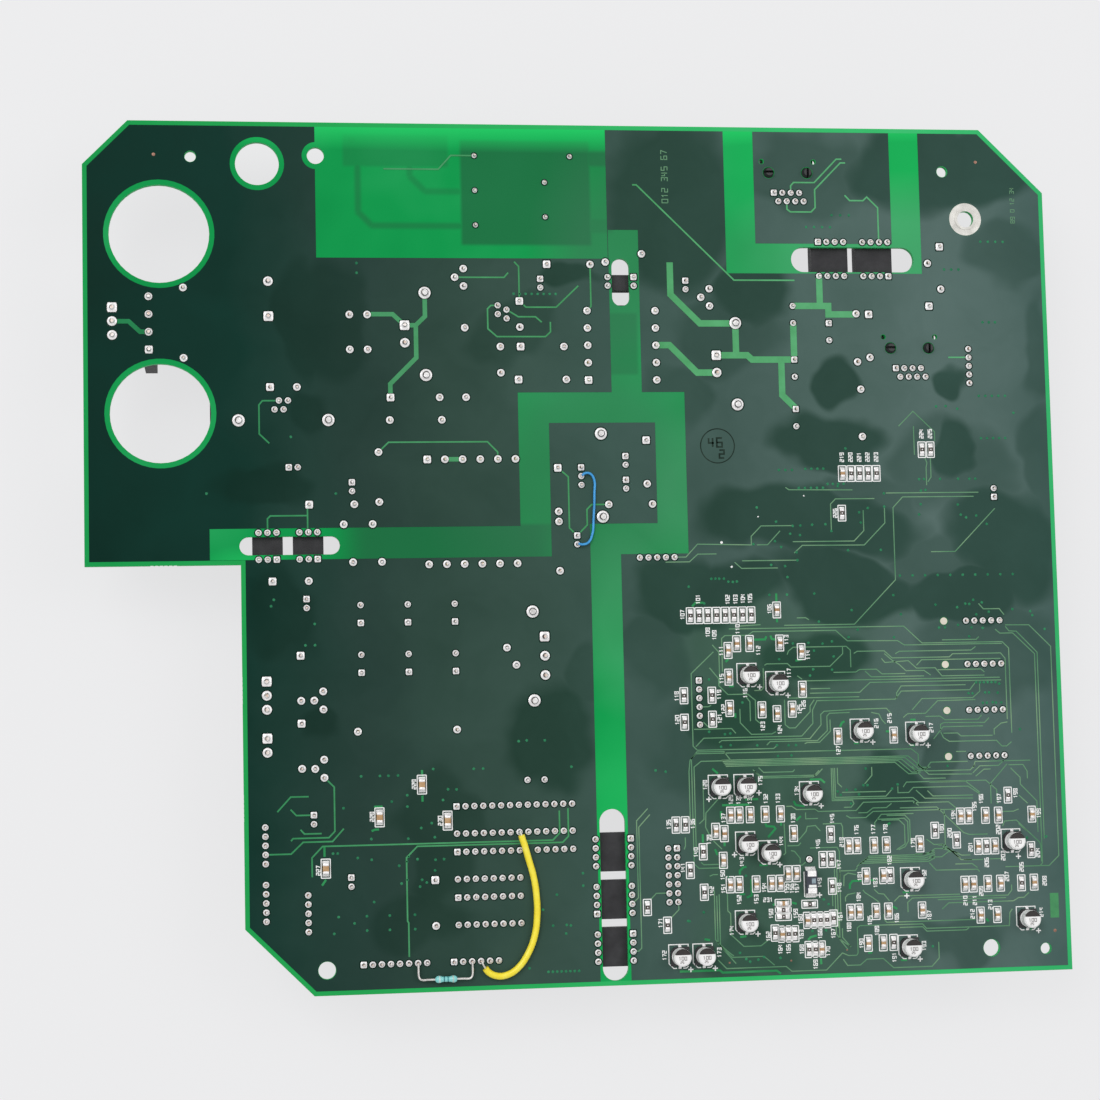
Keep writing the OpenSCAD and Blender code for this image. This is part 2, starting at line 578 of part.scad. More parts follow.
module tinned_land() color("silver") layout() translate([land_at[0], land_at[1], board_top]) {
    rim_t = 0.25;
    rim_w = 0.7;
    difference() {
        union() {
            cylinder(d = land_d, h = plane_t + 0.05);
            cylinder(d = mount_hole_d + 2 * rim_w, h = rim_t);
        }
        translate([0, 0, -past]) cylinder(d = mount_hole_d, h = rim_t + 2 * past);
    }
}

// A solder fillet round one lead: a flat tinned foot and a hollow-sided cone
foot_t = 0.14;
module joint_shape(pad, lead) rotate_extrude() {
    polygon([
        [lead / 2, 0], [pad / 2, 0], [pad / 2, foot_t], [lead / 2 + (pad - lead) * 0.24, joint_h * 0.5],
        [lead / 2 + (pad - lead) * 0.1, joint_h * 0.9], [lead / 2, joint_h]
    ]);
}

module square_foot(pad, lead) linear_extrude(foot_t) difference() {
    square(pad, center = true);
    circle(d = lead);
}

module solder_joints() color("gainsboro") layout() translate([0, 0, board_top]) {
    for (j = all_joints) if (!j[4]) translate([j[0], j[1]]) joint_shape(j[2], j[3]);
    east_side() translate([test_pad_at[0], test_pad_at[1], plane_t])
        cylinder(d1 = small_pad_d, d2 = small_pad_d / 2, h = joint_h / 2);
}

module square_joints() color("gainsboro") layout() translate([0, 0, board_top])
    for (j = all_joints) if (j[4]) translate([j[0], j[1]]) {
        joint_shape(j[2], j[3]);
        square_foot(j[2], j[3]);
    }

// A can standing on the board, with a crimped neck and a rounded end
module can_shape(d, h) translate([0, 0, -h]) rotate_extrude() {
    edge = 0.8;
    neck = 0.5;
    polygon([
        [0, 0], [d / 2 - edge, 0], [d / 2 - 0.25, 0.25], [d / 2, edge], [d / 2, h - 4],
        [d / 2 - neck, h - 3.4], [d / 2 - neck, h - 2.8], [d / 2, h - 2.2], [d / 2, h - 0.5],
        [d / 2 - 0.5, h], [0, h]
    ]);
}

module can_part(at, d, span, lead) part_at(at) {
    translate([span / 2, 0, 0]) can_shape(d, stand_h);
    leads(row(2, span), lead);
}

module main_capacitor() color("dimgray") can_part(main_cap_at[0], main_cap_d, main_cap_span, power_lead_d);
module filter_capacitors() color("darkslateblue")
    for (at = filter_caps_at) can_part(at, filter_cap_d, transformer_pitch, lead_d);
module output_capacitors() color("darkslateblue")
    for (at = concat(output_caps_at, unmarked_cap_at)) can_part(at, output_cap_d, transformer_pitch, lead_d);

module small_capacitors() color("darkslategray") for (at = small_caps_at) part_at(at) {
    translate([pitch / 2, 0, -11]) cylinder(d = 5, h = 11);
    leads(row(2, pitch), lead_d);
}

// A block with leads at both ends of its span
module block_part(at, l, w, h, pins, lead) part_at(at) {
    translate([at[3] / 2 - l / 2, -w / 2, -h]) cube([l, w, h]);
    leads(pins, lead);
}

module film_capacitors() color("firebrick") for (at = film_caps_at)
    block_part(at, at[3] + 3.5, at[3] > 20 ? 13 : 6, at[3] > 20 ? 20 : 12, [[0, 0], [at[3], 0]], lead_d);

// Discs on edge, with their leads cast in; the one over a slot leans back from it on bent leads
module disc_capacitors() color("royalblue") for (at = disc_caps_at) {
    d = at[3] + 1.5;
    t = 3.2;
    lean = at[4];
    bend = lean > 0 ? lead_root : 0;
    drop = d / 2 + (lean > 0 ? 3 : 1);
    part_at(at) translate([0, 0, -bend]) rotate([lean, 0, 0]) {
        translate([at[3] / 2, 0, -drop]) rotate([90, 0, 0]) cylinder(d = d, h = t, center = true);
        if (lean > 0) for (u = [0, at[3]]) translate([u, 0, 0]) {
            sphere(d = lead_d + 0.12);
            translate([0, 0, -drop]) cylinder(d = lead_d, h = drop);
        }
    }
    layout() translate([0, 0, stand_h])
        leads([for (u = [0, at[3]]) placed(at, [u, 0])], lead_d, lean > 0 ? bend : drop);
}

module bridge_rectifier() color("gray") part_at(bridge_at[0]) {
    l = 21.4;
    t = 3.4;
    h = 19;
    stand = 3;
    translate([1.5 * transformer_pitch - l / 2, -t / 2, -h - stand]) cube([l, t, h]);
    leads(row(4, transformer_pitch), power_lead_d, stand + lead_root);
}

// A body lying along the board between two bent leads
module axial_part(at, d, l) part_at(at) {
    drop = d / 2 + body_gap;
    translate([at[3] / 2, 0, -drop]) rotate([0, 90, 0]) {
        cylinder(d = d, h = l, center = true);
        cylinder(d = lead_d, h = at[3], center = true);
    }
    for (u = [0, at[3]]) translate([u, 0, -drop]) {
        sphere(d = lead_d);
        cylinder(d = lead_d, h = drop + lead_top);
    }
}

module power_resistors() color("tan") for (at = power_resistors_at) axial_part(at, 7, 15);
module axial_resistors() color("burlywood") for (at = resistors_at)
    axial_part(at, at[3] > 10 ? axial_d : 2.3, at[3] - 4);
module axial_diodes() color([0.15, 0.15, 0.16]) for (at = diodes_at) axial_part(at, axial_d, 7.5);
module small_diodes() color([0.15, 0.15, 0.16]) for (at = small_diodes_at) axial_part(at, 2.6, 4.6);

module choke() color("darkolivegreen") part_at(choke_at[0]) {
    middle = choke_pins[3] / 2;
    base = [11, 16, 3];
    translate([middle[0] - base[0] / 2, middle[1] - base[1] / 2, -base[2]]) cube(base);
    translate([middle[0], middle[1], -base[2] - 8]) rotate([0, 90, 0])
        rotate_extrude() translate([5.4, 0]) circle(d = 6);
    leads(choke_pins, lead_d);
}

module crystal() color("silver") part_at(crystal_at[0]) {
    l = 11;
    w = 4.6;
    h = 13;
    translate([crystal_span / 2, 0, -h]) linear_extrude(h) {
        square([l - w, w], center = true);
        for (side = [-1, 1]) translate([side * (l - w) / 2, 0]) circle(d = w);
    }
    leads(row(2, crystal_span), lead_d);
}

// A round-backed transistor on three formed leads
module small_transistors() color([0.15, 0.15, 0.16]) for (at = transistors_at) part_at(at) {
    h = 5;
    stand = 2.5;
    translate([-pitch / 2, 0, -h - stand]) linear_extrude(h) intersection() {
        circle(d = 7);
        translate([-2.6, -3.5]) square([5.2, 7]);
    }
    leads(transistor_pins, lead_d, stand + lead_root);
}

// A heat sink: a ribbed back plate between two wings, on two solder pegs
module heatsink(s) color([0.2, 0.2, 0.21]) part_at(s) {
    wing_t = 2;
    rib_d = 1.2;
    rib_w = 1.6;
    rib_step = 4;
    translate([s[4], 0, -stand_h]) linear_extrude(stand_h) {
        translate([0, -s[5] / 2]) square([sink_t, s[5]]);
        for (side = [-1, 1]) translate([-wing_l, side * (s[5] - wing_t) / 2 - wing_t / 2])
            square([wing_l + sink_t, wing_t]);
        if (s[6] > 0) for (i = [0:s[6] - 1])
            translate([0, (i - (s[6] - 1) / 2) * rib_step - rib_w / 2]) square([sink_t + rib_d, rib_w]);
    }
    leads(peg_pins(s), peg_d);
}

module input_heatsink() heatsink(input_sink);
module left_heatsink() heatsink(left_sink);
module middle_heatsink() heatsink(middle_sink);
module right_heatsink() heatsink(right_sink);
module lower_heatsink() heatsink(lower_sink);

// An upright power device: a moulded body and a drilled metal tab, back against its heat sink.
// The leads run along its width, and back is where its rear face lies beside the first lead.
module power_device(at, pins, w, t, h, back, lead) color([0.15, 0.15, 0.16]) part_at(at) {
    stand = 4;
    tab_t = 1.3;
    hole_d = 3.6;
    hole_up = 2.8;
    body_h = h * 0.6;
    middle = (pins[0][0] + pins[len(pins) - 1][0]) / 2;
    translate([middle, 0, -stand]) rotate(back < 0 ? 180 : 0) translate([0, abs(back), 0]) {
        translate([-w / 2, -t, -body_h]) cube([w, t, body_h]);
        difference() {
            translate([-w / 2, -tab_t, -h]) cube([w, tab_t, h]);
            translate([0, past, hole_up - h]) rotate([90, 0, 0]) cylinder(d = hole_d, h = tab_t + 2 * past);
        }
    }
    leads(pins, lead, stand + lead_root);
}

module input_switch() power_device(input_switch_at[0], zigzag_pins, 10, 4.8, 16, -1.9, lead_d);
module control_switch() power_device(control_switch_at[0], zigzag_pins, 10, 4.8, 16, 3.7, lead_d);
module left_rectifier()
    power_device(left_rectifier_at[0], row(2, transformer_pitch), 10, 4.5, 16, 2.7, power_lead_d);
module right_rectifier()
    power_device(right_rectifier_at[0], row(2, transformer_pitch), 10, 4.5, 16, 2.7, power_lead_d);
module regulator() power_device(regulator_at[0], row(3, pitch), 10, 4.5, 16, 2.7, lead_d);
module power_transistor()
    power_device(power_transistor_at[0], row(3, power_pitch), 15.6, 5, 19, -2.4, power_lead_d);

// Transformers: [core width along the leads, core length, outer leg, middle leg, core height]
main_set = [32, 36, 5, 10, 11];
small_set = [26, 26, 4.2, 8, 9];
rail_h = 4.6;
core_drop = rail_h + 0.6;

// A ferrite core: two outer legs, a middle leg through the bobbin, and two end bars
module core_shape(set) translate([0, 0, -core_drop - set[4]]) linear_extrude(set[4]) difference() {
    square([set[0], set[1]], center = true);
    window = (set[0] - set[3]) / 2 - set[2];
    for (side = [-1, 1]) translate([side * (set[3] + window) / 2, 0])
        square([window, set[1] - 2 * set[2]], center = true);
}

// A bobbin: a wound tube round the middle leg, two end flanges, and two rails that hold the leads
module bobbin_shape(set, rail_l, apart) {
    gap = 0.3;
    flange_t = 1.2;
    rail_out = 3;
    wound = 3.6;
    reach = set[1] / 2 - set[2] - gap;
    tube_w = set[0] - 2 * set[2] - 4 * gap;
    tube_h = set[4] + 2 * wound;
    middle = -core_drop - set[4] / 2;
    for (side = [0, 180]) rotate(side) translate([-rail_l / 2, reach - flange_t, -rail_h])
        cube([rail_l, apart / 2 + rail_out - reach + flange_t, rail_h]);
    difference() {
        union() {
            translate([0, 0, middle]) cube([tube_w - 2 * gap, 2 * reach, tube_h - 2 * gap], center = true);
            for (side = [-1, 1]) translate([0, side * (reach - flange_t / 2), middle])
                cube([tube_w, flange_t, tube_h], center = true);
        }
        translate([0, 0, middle]) cube([set[3] + gap, 2 * reach + past, set[4] + gap], center = true);
    }
}

module main_bobbin() color([0.55, 0.35, 0.2]) part_at(main_transformer_at[0]) {
    translate([2.5 * transformer_pitch, -main_transformer_apart / 2, 0])
        bobbin_shape(main_set, 5 * transformer_pitch + 6, main_transformer_apart);
    leads(main_transformer_pins, lead_d);
}

module main_core() color([0.25, 0.25, 0.27]) part_at(main_transformer_at[0])
    translate([2.5 * transformer_pitch, -main_transformer_apart / 2, 0]) core_shape(main_set);

module small_bobbin() color([0.55, 0.35, 0.2]) part_at(small_transformer_at[0]) {
    translate([2 * transformer_pitch, -small_transformer_apart / 2, 0])
        bobbin_shape(small_set, 4 * transformer_pitch + 4, small_transformer_apart);
    leads(small_transformer_pins, lead_d);
}

module small_core() color([0.25, 0.25, 0.27]) part_at(small_transformer_at[0])
    translate([2 * transformer_pitch, -small_transformer_apart / 2, 0]) core_shape(small_set);

module relay() color([0.2, 0.2, 0.22]) part_at(relay_at[0]) {
    size = [33.4, 26, 15];
    translate([-2.8, 2.9 - size[1], -body_gap - size[2]]) cube(size);
    leads(relay_pins, lead_d);
}

// A moulded body with two rows of leads, each row on flat shoulders
module dual_part(at, count, apart, l, w, h) color([0.17, 0.17, 0.18]) part_at(at) {
    shoulder_w = 1.1;
    shoulder_t = 0.3;
    span = (count - 1) * pitch;
    level = -body_gap - h / 2;
    translate([span / 2 - l / 2, -apart / 2 - w / 2, -body_gap - h]) cube([l, w, h]);
    for (i = [0:count - 1]) translate([i * pitch - shoulder_w / 2, -apart - lead_d / 2, level - shoulder_t])
        cube([shoulder_w, apart + lead_d, shoulder_t]);
    leads(two_rows(count, pitch, apart), lead_d, -level + shoulder_t / 2);
}

module microcontroller() dual_part(microcontroller_at[0], 14, dip_apart, 35, 6.4, 3.5);
module logic_circuits() for (at = logic_at) dual_part(at, 8, dip_apart, 19.6, 6.4, 3.5);
module left_optos() for (at = left_optos_at) dual_part(at, 3, dip_apart, 8.6, 6.3, 3.5);
module small_opto() dual_part(small_opto_at[0], 2, dip_apart, 4.6, 6.3, 3.5);
module upper_optos() for (at = upper_optos_at) dual_part(at, 4, opto_apart, opto_l, 8.6, 4);
module lower_optos() for (at = lower_optos_at) dual_part(at, 4, opto_apart, opto_l, 8.6, 4);

module resistor_networks() color([0.3, 0.2, 0.12]) for (at = networks_at) part_at(at) {
    size = [5 * pitch, 2.4, 7.5];
    translate([-pitch / 2, -size[1] / 2, -body_gap - size[2]]) cube(size);
    leads(row(5, pitch), lead_d);
}

// Pin strips: a low base with posts standing out of it
post_l = 11;
strip_base_h = 2.5;
module pin_headers() color([0.16, 0.16, 0.17]) {
    for (at = row_headers_at) part_at(at) {
        translate([-pitch / 2, -strip_base_h / 2, -strip_base_h])
            cube([at[3] * pitch, strip_base_h, strip_base_h]);
        leads(row(at[3], pitch), lead_d, post_l);
    }
    part_at(block_header_at[0]) {
        translate([-pitch / 2, -1.5 * pitch, -strip_base_h]) cube([7 * pitch, 2 * pitch, strip_base_h]);
        leads(block_header_pins, lead_d, post_l);
    }
}

// Latching headers: a base, a latch wall behind the posts, and for the side row a locating peg
module latch_header(l, from, w, base_h, wall_h, wall_t) {
    translate([from, -w / 2, -base_h]) cube([l, w, base_h]);
    translate([from, w / 2 - wall_t, -wall_h]) cube([l, wall_t, wall_h]);
}

module power_headers() color("ivory") for (at = power_headers_at) part_at(at) {
    latch_header(at[3] * header_pitch, -header_pitch / 2, 8, 3.2, 11, 1.2);
    leads(row(at[3], header_pitch), power_lead_d, 14);
}

module side_headers() color("ivory") for (at = side_headers_at) part_at(at) {
    latch_header(20.6, -8.2, 6, 3.2, 9, 1);
    translate([-header_peg_back, 0, -past]) cylinder(d = header_peg_d, h = past + board_t + 0.1);
    leads(row(5, pitch), lead_d, post_l);
}

// A modular jack: a block with its plug opening facing away from the board, and two snap pegs
jack_mouth = [11.8, 6.8];
jack_latch = [6.2, 2.6];
jack_floor = 4;
jack_tip_h = 1.3;
jack_slit = 0.7;
module jack(at) color([0.2, 0.2, 0.22]) part_at(at) {
    depth = 18;
    middle = 1.5 * pitch + pitch / 4;
    difference() {
        translate([middle - jack_w / 2, -4, -jack_h]) cube([jack_w, depth, jack_h]);
        translate([middle - jack_mouth[0] / 2, 0.5, -jack_h - past])
            cube([jack_mouth[0], jack_mouth[1], jack_h - jack_floor + past]);
        translate([middle - jack_latch[0] / 2, 0, -jack_h - past])
            cube([jack_latch[0], jack_mouth[1] + jack_latch[1] + 0.5, jack_h - jack_floor + past]);
    }
    // Split pegs with tapered tips, one slit along the row and one across it
    for (i = [0, 1]) translate(jack_pegs[i]) rotate(90 * i) difference() {
        union() {
            translate([0, 0, -past]) cylinder(d = jack_peg_d, h = past + board_t + 0.1);
            translate([0, 0, board_t + 0.1]) cylinder(d1 = jack_peg_d, d2 = 0.7 * jack_peg_d, h = jack_tip_h);
        }
        translate([-jack_peg_d, -jack_slit / 2, board_t / 2])
            cube([2 * jack_peg_d, jack_slit, board_t + jack_tip_h]);
    }
    leads(jack_pins, lead_d);
}

module upper_jack() jack(jacks_at[0]);
module lower_jack() jack(jacks_at[1]);

// Can capacitors on the solder side: a plastic base with two cut corners, and an aluminium can
base_h = 0.9;
module can_at(p) layout() east_side() translate([p[0], p[1], plane_top]) children();

module can_bases() color([0.14, 0.14, 0.15]) for (p = cans_at) can_at(p) linear_extrude(base_h) {
    half = can_base_w / 2;
    cut = 1.1;
    polygon([
        [-half, -half], [half - cut, -half], [half, -half + cut], [half, half], [-half + cut, half],
        [-half, half - cut]
    ]);
}

module can_capacitors() color([0.75, 0.75, 0.76]) for (p = cans_at) can_at(p) rotate_extrude() {
    r = can_d / 2;
    polygon([
        [0, base_h], [r - 0.3, base_h], [r, base_h + 0.3], [r, base_h + 0.9], [r - 0.2, base_h + 1.1],
        [r, base_h + 1.3], [r, can_h - 0.4], [r - 0.4, can_h], [0, can_h]
    ]);
}

// Chips: a ceramic block between two soldered ends
module chip_at(at, shift = true) layout()
    translate([at[0] + (shift ? east_shift : 0), at[1], plane_top]) rotate(at[2]) children();
module chip_body(l, w, h) translate([-l / 2, -w / 2, 0]) cube([l, w, h]);
module chip_fillets(l, w, h, reach) for (side = [0, 180]) rotate(side) translate([l / 2, w / 2, 0])
    rotate([90, 0, 0]) linear_extrude(w)
        polygon([[0, 0], [reach, 0], [reach, 0.12], [reach * 0.4, h * 0.5], [0, h]]);

tantalum = [6.4, 3.1, 2.4];

module chip_capacitors() color([0.65, 0.47, 0.26]) {
    for (at = chip_caps_at) chip_at(at) chip_body(chip_l, chip_w, chip_cap_h);
    for (at = large_caps_at) chip_at(at, false)
        chip_body(chip_l * large_chip, chip_w * large_chip, chip_cap_h);
}

module chip_resistors() color([0.15, 0.15, 0.16])
    for (at = chip_resistors_at) chip_at(at) chip_body(chip_l, chip_w, chip_res_h);

module chip_ends() color("gainsboro") {
    for (at = chip_caps_at) chip_at(at) chip_fillets(chip_l, chip_w, chip_cap_h, fillet_l);
    for (at = large_caps_at) chip_at(at, false)
        chip_fillets(chip_l * large_chip, chip_w * large_chip, chip_cap_h, fillet_l);
    for (at = chip_resistors_at) chip_at(at) chip_fillets(chip_l, chip_w, chip_res_h, fillet_l);
    for (p = cans_at) can_at(p) rotate(90) chip_fillets(can_base_w, 0.8, base_h * 0.6, fillet_l);
    chip_at(tantalum_at) chip_fillets(tantalum[0], tantalum[1], tantalum[2] * 0.6, fillet_l + 0.2);
}

module tantalum_capacitor() color([0.6, 0.45, 0.15])
    chip_at(tantalum_at) chip_body(tantalum[0], tantalum[1], tantalum[2]);

// The patch resistor lies across the front edge, its leads bent back to two header joints
module patch_resistor() color([0.45, 0.78, 0.78]) layout() translate([0, 0, plane_top + patch_up]) {
    from_u = row_headers_at[0][0] + 6 * pitch;
    to_u = row_headers_at[1][0] + 2 * pitch;
    lead_end = row_headers_at[0][1] - lead_d / 2;
    bend = 0.8;
    translate([patch_middle, patch_v, 0]) rotate([0, 90, 0]) rotate_extrude() polygon([
        [0, -patch_l / 2], [0.6, -patch_l / 2], [1.1, 0.5 - patch_l / 2], [1.1, 1.6 - patch_l / 2],
        [0.85, 2.1 - patch_l / 2], [0.85, patch_l / 2 - 2.1], [1.1, patch_l / 2 - 1.6],
        [1.1, patch_l / 2 - 0.5], [0.6, patch_l / 2], [0, patch_l / 2]
    ]);
    translate([from_u + bend, patch_v, 0]) rotate([0, 90, 0])
        cylinder(d = patch_lead_d, h = to_u - from_u - 2 * bend);
    for (u = [from_u, to_u]) translate([u, patch_v + bend, 0]) rotate([-90, 0, 0])
        cylinder(d = patch_lead_d, h = lead_end - patch_v - bend);
    translate([from_u + bend, patch_v + bend, 0]) rotate(180) patch_bend(bend);
    translate([to_u - bend, patch_v + bend, 0]) rotate(270) patch_bend(bend);
}

module patch_bend(bend) rotate_extrude(angle = 90) translate([bend, 0]) circle(d = patch_lead_d);

// Jumper wires: [across, up, rise above lying flat, radius], swept as one tube with bare ends
bare_r = 0.3;
lie = 0.14;
tip_rise = joint_h + stub_h + bare_r - lie;
wire_r = wire_d / 2;
fine_r = fine_wire_d / 2;
jumper_route = [
    [120.9, 44.2, tip_rise, bare_r], [121.2, 43.2, tip_rise, bare_r], [121.3, 42.8, 1.1, wire_r],
    [122, 40.6, 0.9, wire_r], [123, 37, 0.5, wire_r], [124.6, 31, 0, wire_r], [125.3, 25, 0, wire_r],
    [125.3, 20.5, 0, wire_r], [124.5, 15, 0, wire_r], [122.5, 10, 0, wire_r], [119.5, 6, 0, wire_r],
    [116.5, 4.2, 0, wire_r], [113.5, 4, 0, wire_r], [111.2, 5.1, 0, wire_r], [110.3, 6.2, 0.2, wire_r],
    [110.1, 6.5, 0.7, bare_r], [109.6, 7.3, tip_rise, bare_r], [109.3, 8, tip_rise, bare_r]
];
fine_route = [
    [141, 145.5, tip_rise, bare_r], [141.8, 146.1, 1.1, fine_r], [143.4, 146.1, 0.4, fine_r],
    [144.5, 144.8, 0, fine_r], [144.6, 140, 0, fine_r], [144.2, 133, 0, fine_r], [143.7, 128.4, 0, fine_r],
    [142.6, 126.3, 0.2, fine_r], [140.8, 125.6, 1, fine_r], [139.5, 125.8, tip_rise, bare_r]
];
function risen(p) = [p[0], p[1], plane_top + lie + p[2] + p[3]];
function along(points, i) = heading(points[max(i - 1, 0)], points[min(i + 1, len(points) - 1)]);
function ring(points, radii, i, sides) = let (
    t = along(points, i),
    s = cross(t, [0, 0, 1]) / norm(cross(t, [0, 0, 1])),
    n = cross(s, t)
) [for (k = [0:sides - 1]) points[i] + radii[i] * (cos(k * 360 / sides) * s + sin(k * 360 / sides) * n)];
function rings(points, radii, sides) = [for (i = [0:len(points) - 1]) each ring(points, radii, i, sides)];

module tube(route, sides) {
    points = [for (p = route) risen(p)];
    radii = [for (p = route) p[3]];
    last = len(points) - 1;
    polyhedron(rings(points, radii, sides), concat(
        [[for (k = [0:sides - 1]) k]],
        [for (i = [0:last - 1], k = [0:sides - 1]) let (a = i * sides, b = a + sides, next = (k + 1) % sides)
            [a + k, b + k, b + next, a + next]],
        [[for (k = [sides - 1:-1:0]) last * sides + k]]
    ));
}

module jumper_wire() color([0.95, 0.87, 0.2]) layout() tube(jumper_route, 8);
module fine_wire() color([0.2, 0.6, 0.88]) layout() tube(fine_route, 8);

circuit_board();
copper_planes();
copper_tracks();
tinned_land();
solder_joints();
square_joints();
main_capacitor();
filter_capacitors();
output_capacitors();
small_capacitors();
film_capacitors();
disc_capacitors();
bridge_rectifier();
power_resistors();
axial_resistors();
axial_diodes();
small_diodes();
choke();
crystal();
small_transistors();
input_heatsink();
left_heatsink();
middle_heatsink();
right_heatsink();
lower_heatsink();
input_switch();
control_switch();
left_rectifier();
right_rectifier();
regulator();
power_transistor();
main_bobbin();
main_core();
small_bobbin();
small_core();
relay();
microcontroller();
logic_circuits();
left_optos();
small_opto();
upper_optos();
lower_optos();
resistor_networks();
pin_headers();
power_headers();
side_headers();
upper_jack();
lower_jack();
can_bases();
can_capacitors();
chip_capacitors();
chip_resistors();
chip_ends();
tantalum_capacitor();
patch_resistor();
jumper_wire();
fine_wire();
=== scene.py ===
from math import atan2, cos, pi, sin, sqrt

import bpy
import numpy as np
from mathutils import Matrix, Vector


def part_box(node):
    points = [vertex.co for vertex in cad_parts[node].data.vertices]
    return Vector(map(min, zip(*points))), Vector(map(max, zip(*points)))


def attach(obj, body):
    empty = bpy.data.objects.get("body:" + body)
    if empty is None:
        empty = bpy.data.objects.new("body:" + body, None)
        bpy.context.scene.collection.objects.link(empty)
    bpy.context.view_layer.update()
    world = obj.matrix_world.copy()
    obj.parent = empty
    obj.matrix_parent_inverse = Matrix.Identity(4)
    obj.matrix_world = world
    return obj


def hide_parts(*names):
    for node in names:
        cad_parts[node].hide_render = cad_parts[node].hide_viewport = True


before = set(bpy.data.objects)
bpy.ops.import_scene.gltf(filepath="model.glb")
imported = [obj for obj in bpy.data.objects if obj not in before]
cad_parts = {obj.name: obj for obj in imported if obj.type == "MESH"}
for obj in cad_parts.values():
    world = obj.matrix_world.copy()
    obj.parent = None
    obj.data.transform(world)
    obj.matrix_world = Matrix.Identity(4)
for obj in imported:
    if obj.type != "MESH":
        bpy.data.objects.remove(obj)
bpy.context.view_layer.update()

# Camera: a long lens almost straight above the board, a little to its lower left.
# It was fitted to the board's corners and holes, and it leans by about a tenth of a right angle.
MM = 0.001
eye = Vector((-99.47, -55.54, 707.65)) * MM
aim = Vector((-9.57, 0.01, 27.0)) * MM
lean = Vector((0.01164, 0.99649, 0.08286))
lens_mm, sensor_mm = 78.545, 36.0
NEAREST = 0.01
scene = bpy.context.scene


def placed(name, data):
    made = bpy.data.objects.new(name, data)
    scene.collection.objects.link(made)
    return made


sight = (aim - eye).normalized()
across = sight.cross(lean).normalized()
upward = across.cross(sight)
camera_data = bpy.data.cameras.new("bench_camera")
camera_data.sensor_width = sensor_mm
camera_data.lens = lens_mm
camera_data.clip_start = NEAREST
camera = placed("bench_camera", camera_data)
camera.matrix_world = Matrix.Translation(eye) @ Matrix((across, upward, -sight)).transposed().to_4x4()
scene.camera = camera
scene.view_settings.view_transform = "Standard"

# Table and light: a pale smooth table under two large soft boxes and an even white room.
# To the eye the table is mostly its own pale colour, with part of the shadow kept.
TABLE_SIDE = 5.0
TABLE_TONE, ROOM_TONE = (0.85, 0.85, 0.86, 1.0), (1.0, 1.0, 1.0, 1.0)
TABLE_GLOW = 0.84
ROOM_LEVEL = 0.55


def node(tree, kind, inputs=(), **settings):
    made = tree.nodes.new("ShaderNode" + kind)
    for name, value in settings.items():
        setattr(made, name, value)
    for name, value in dict(inputs).items():
        if isinstance(value, bpy.types.NodeSocket):
            tree.links.new(value, made.inputs[name])
        else:
            made.inputs[name].default_value = value
    return made


def maths(tree, how, first, second):
    return node(tree, "Math", {0: first, 1: second}, operation=how).outputs[0]


def to_the_eye(tree):
    """1 for rays to the eye, straight or by way of a shiny or clear surface, and 0 for the rest."""
    ray = node(tree, "LightPath").outputs
    seen = maths(tree, "MAXIMUM", ray["Is Camera Ray"], ray["Is Glossy Ray"])
    return maths(tree, "MAXIMUM", seen, ray["Is Transmission Ray"])


def table_finish():
    finish = bpy.data.materials.new("pale_table")
    finish.use_nodes = True
    tree = finish.node_tree
    tree.nodes.clear()
    share = maths(tree, "MULTIPLY", to_the_eye(tree), TABLE_GLOW)
    matt = node(tree, "BsdfDiffuse", {"Color": TABLE_TONE})
    glow = node(tree, "Emission", {"Color": TABLE_TONE, "Strength": 1.0})
    mixed = node(tree, "MixShader", {0: share, 1: matt.outputs[0], 2: glow.outputs[0]})
    node(tree, "OutputMaterial", {"Surface": mixed.outputs[0]})
    return finish


half = TABLE_SIDE / 2
table_mesh = bpy.data.meshes.new("table")
table_corners = [(-half, -half, 0), (half, -half, 0), (half, half, 0), (-half, half, 0)]
table_mesh.from_pydata(table_corners, [], [(0, 1, 2, 3)])
table_mesh.materials.append(table_finish())
table = placed("table", table_mesh)

room = bpy.data.worlds.new("white_room")
room.use_nodes = True
scene.world = room
room_tree = room.node_tree
room_tree.nodes.clear()
room_soft = node(room_tree, "Background", {"Color": ROOM_TONE, "Strength": ROOM_LEVEL})
room_seen = node(room_tree, "Background", {"Color": TABLE_TONE, "Strength": 1.0})
room_share = to_the_eye(room_tree)
room_mix = node(room_tree, "MixShader", {0: room_share, 1: room_soft.outputs[0], 2: room_seen.outputs[0]})
node(room_tree, "OutputWorld", {"Surface": room_mix.outputs[0]})

for name, place, watts, side in (
    ("key_box", (-0.75, 0.65, 1.5), 12.0, 1.0),
    ("fill_box", (1.05, 0.35, 1.35), 5.0, 0.9),
):
    lamp = bpy.data.lights.new(name, "AREA")
    lamp.energy = watts
    lamp.size = side
    lamp_object = placed(name, lamp)
    lamp_object.location = place
    lamp_object.rotation_euler = (-Vector(place)).to_track_quat("-Z", "Y").to_euler()

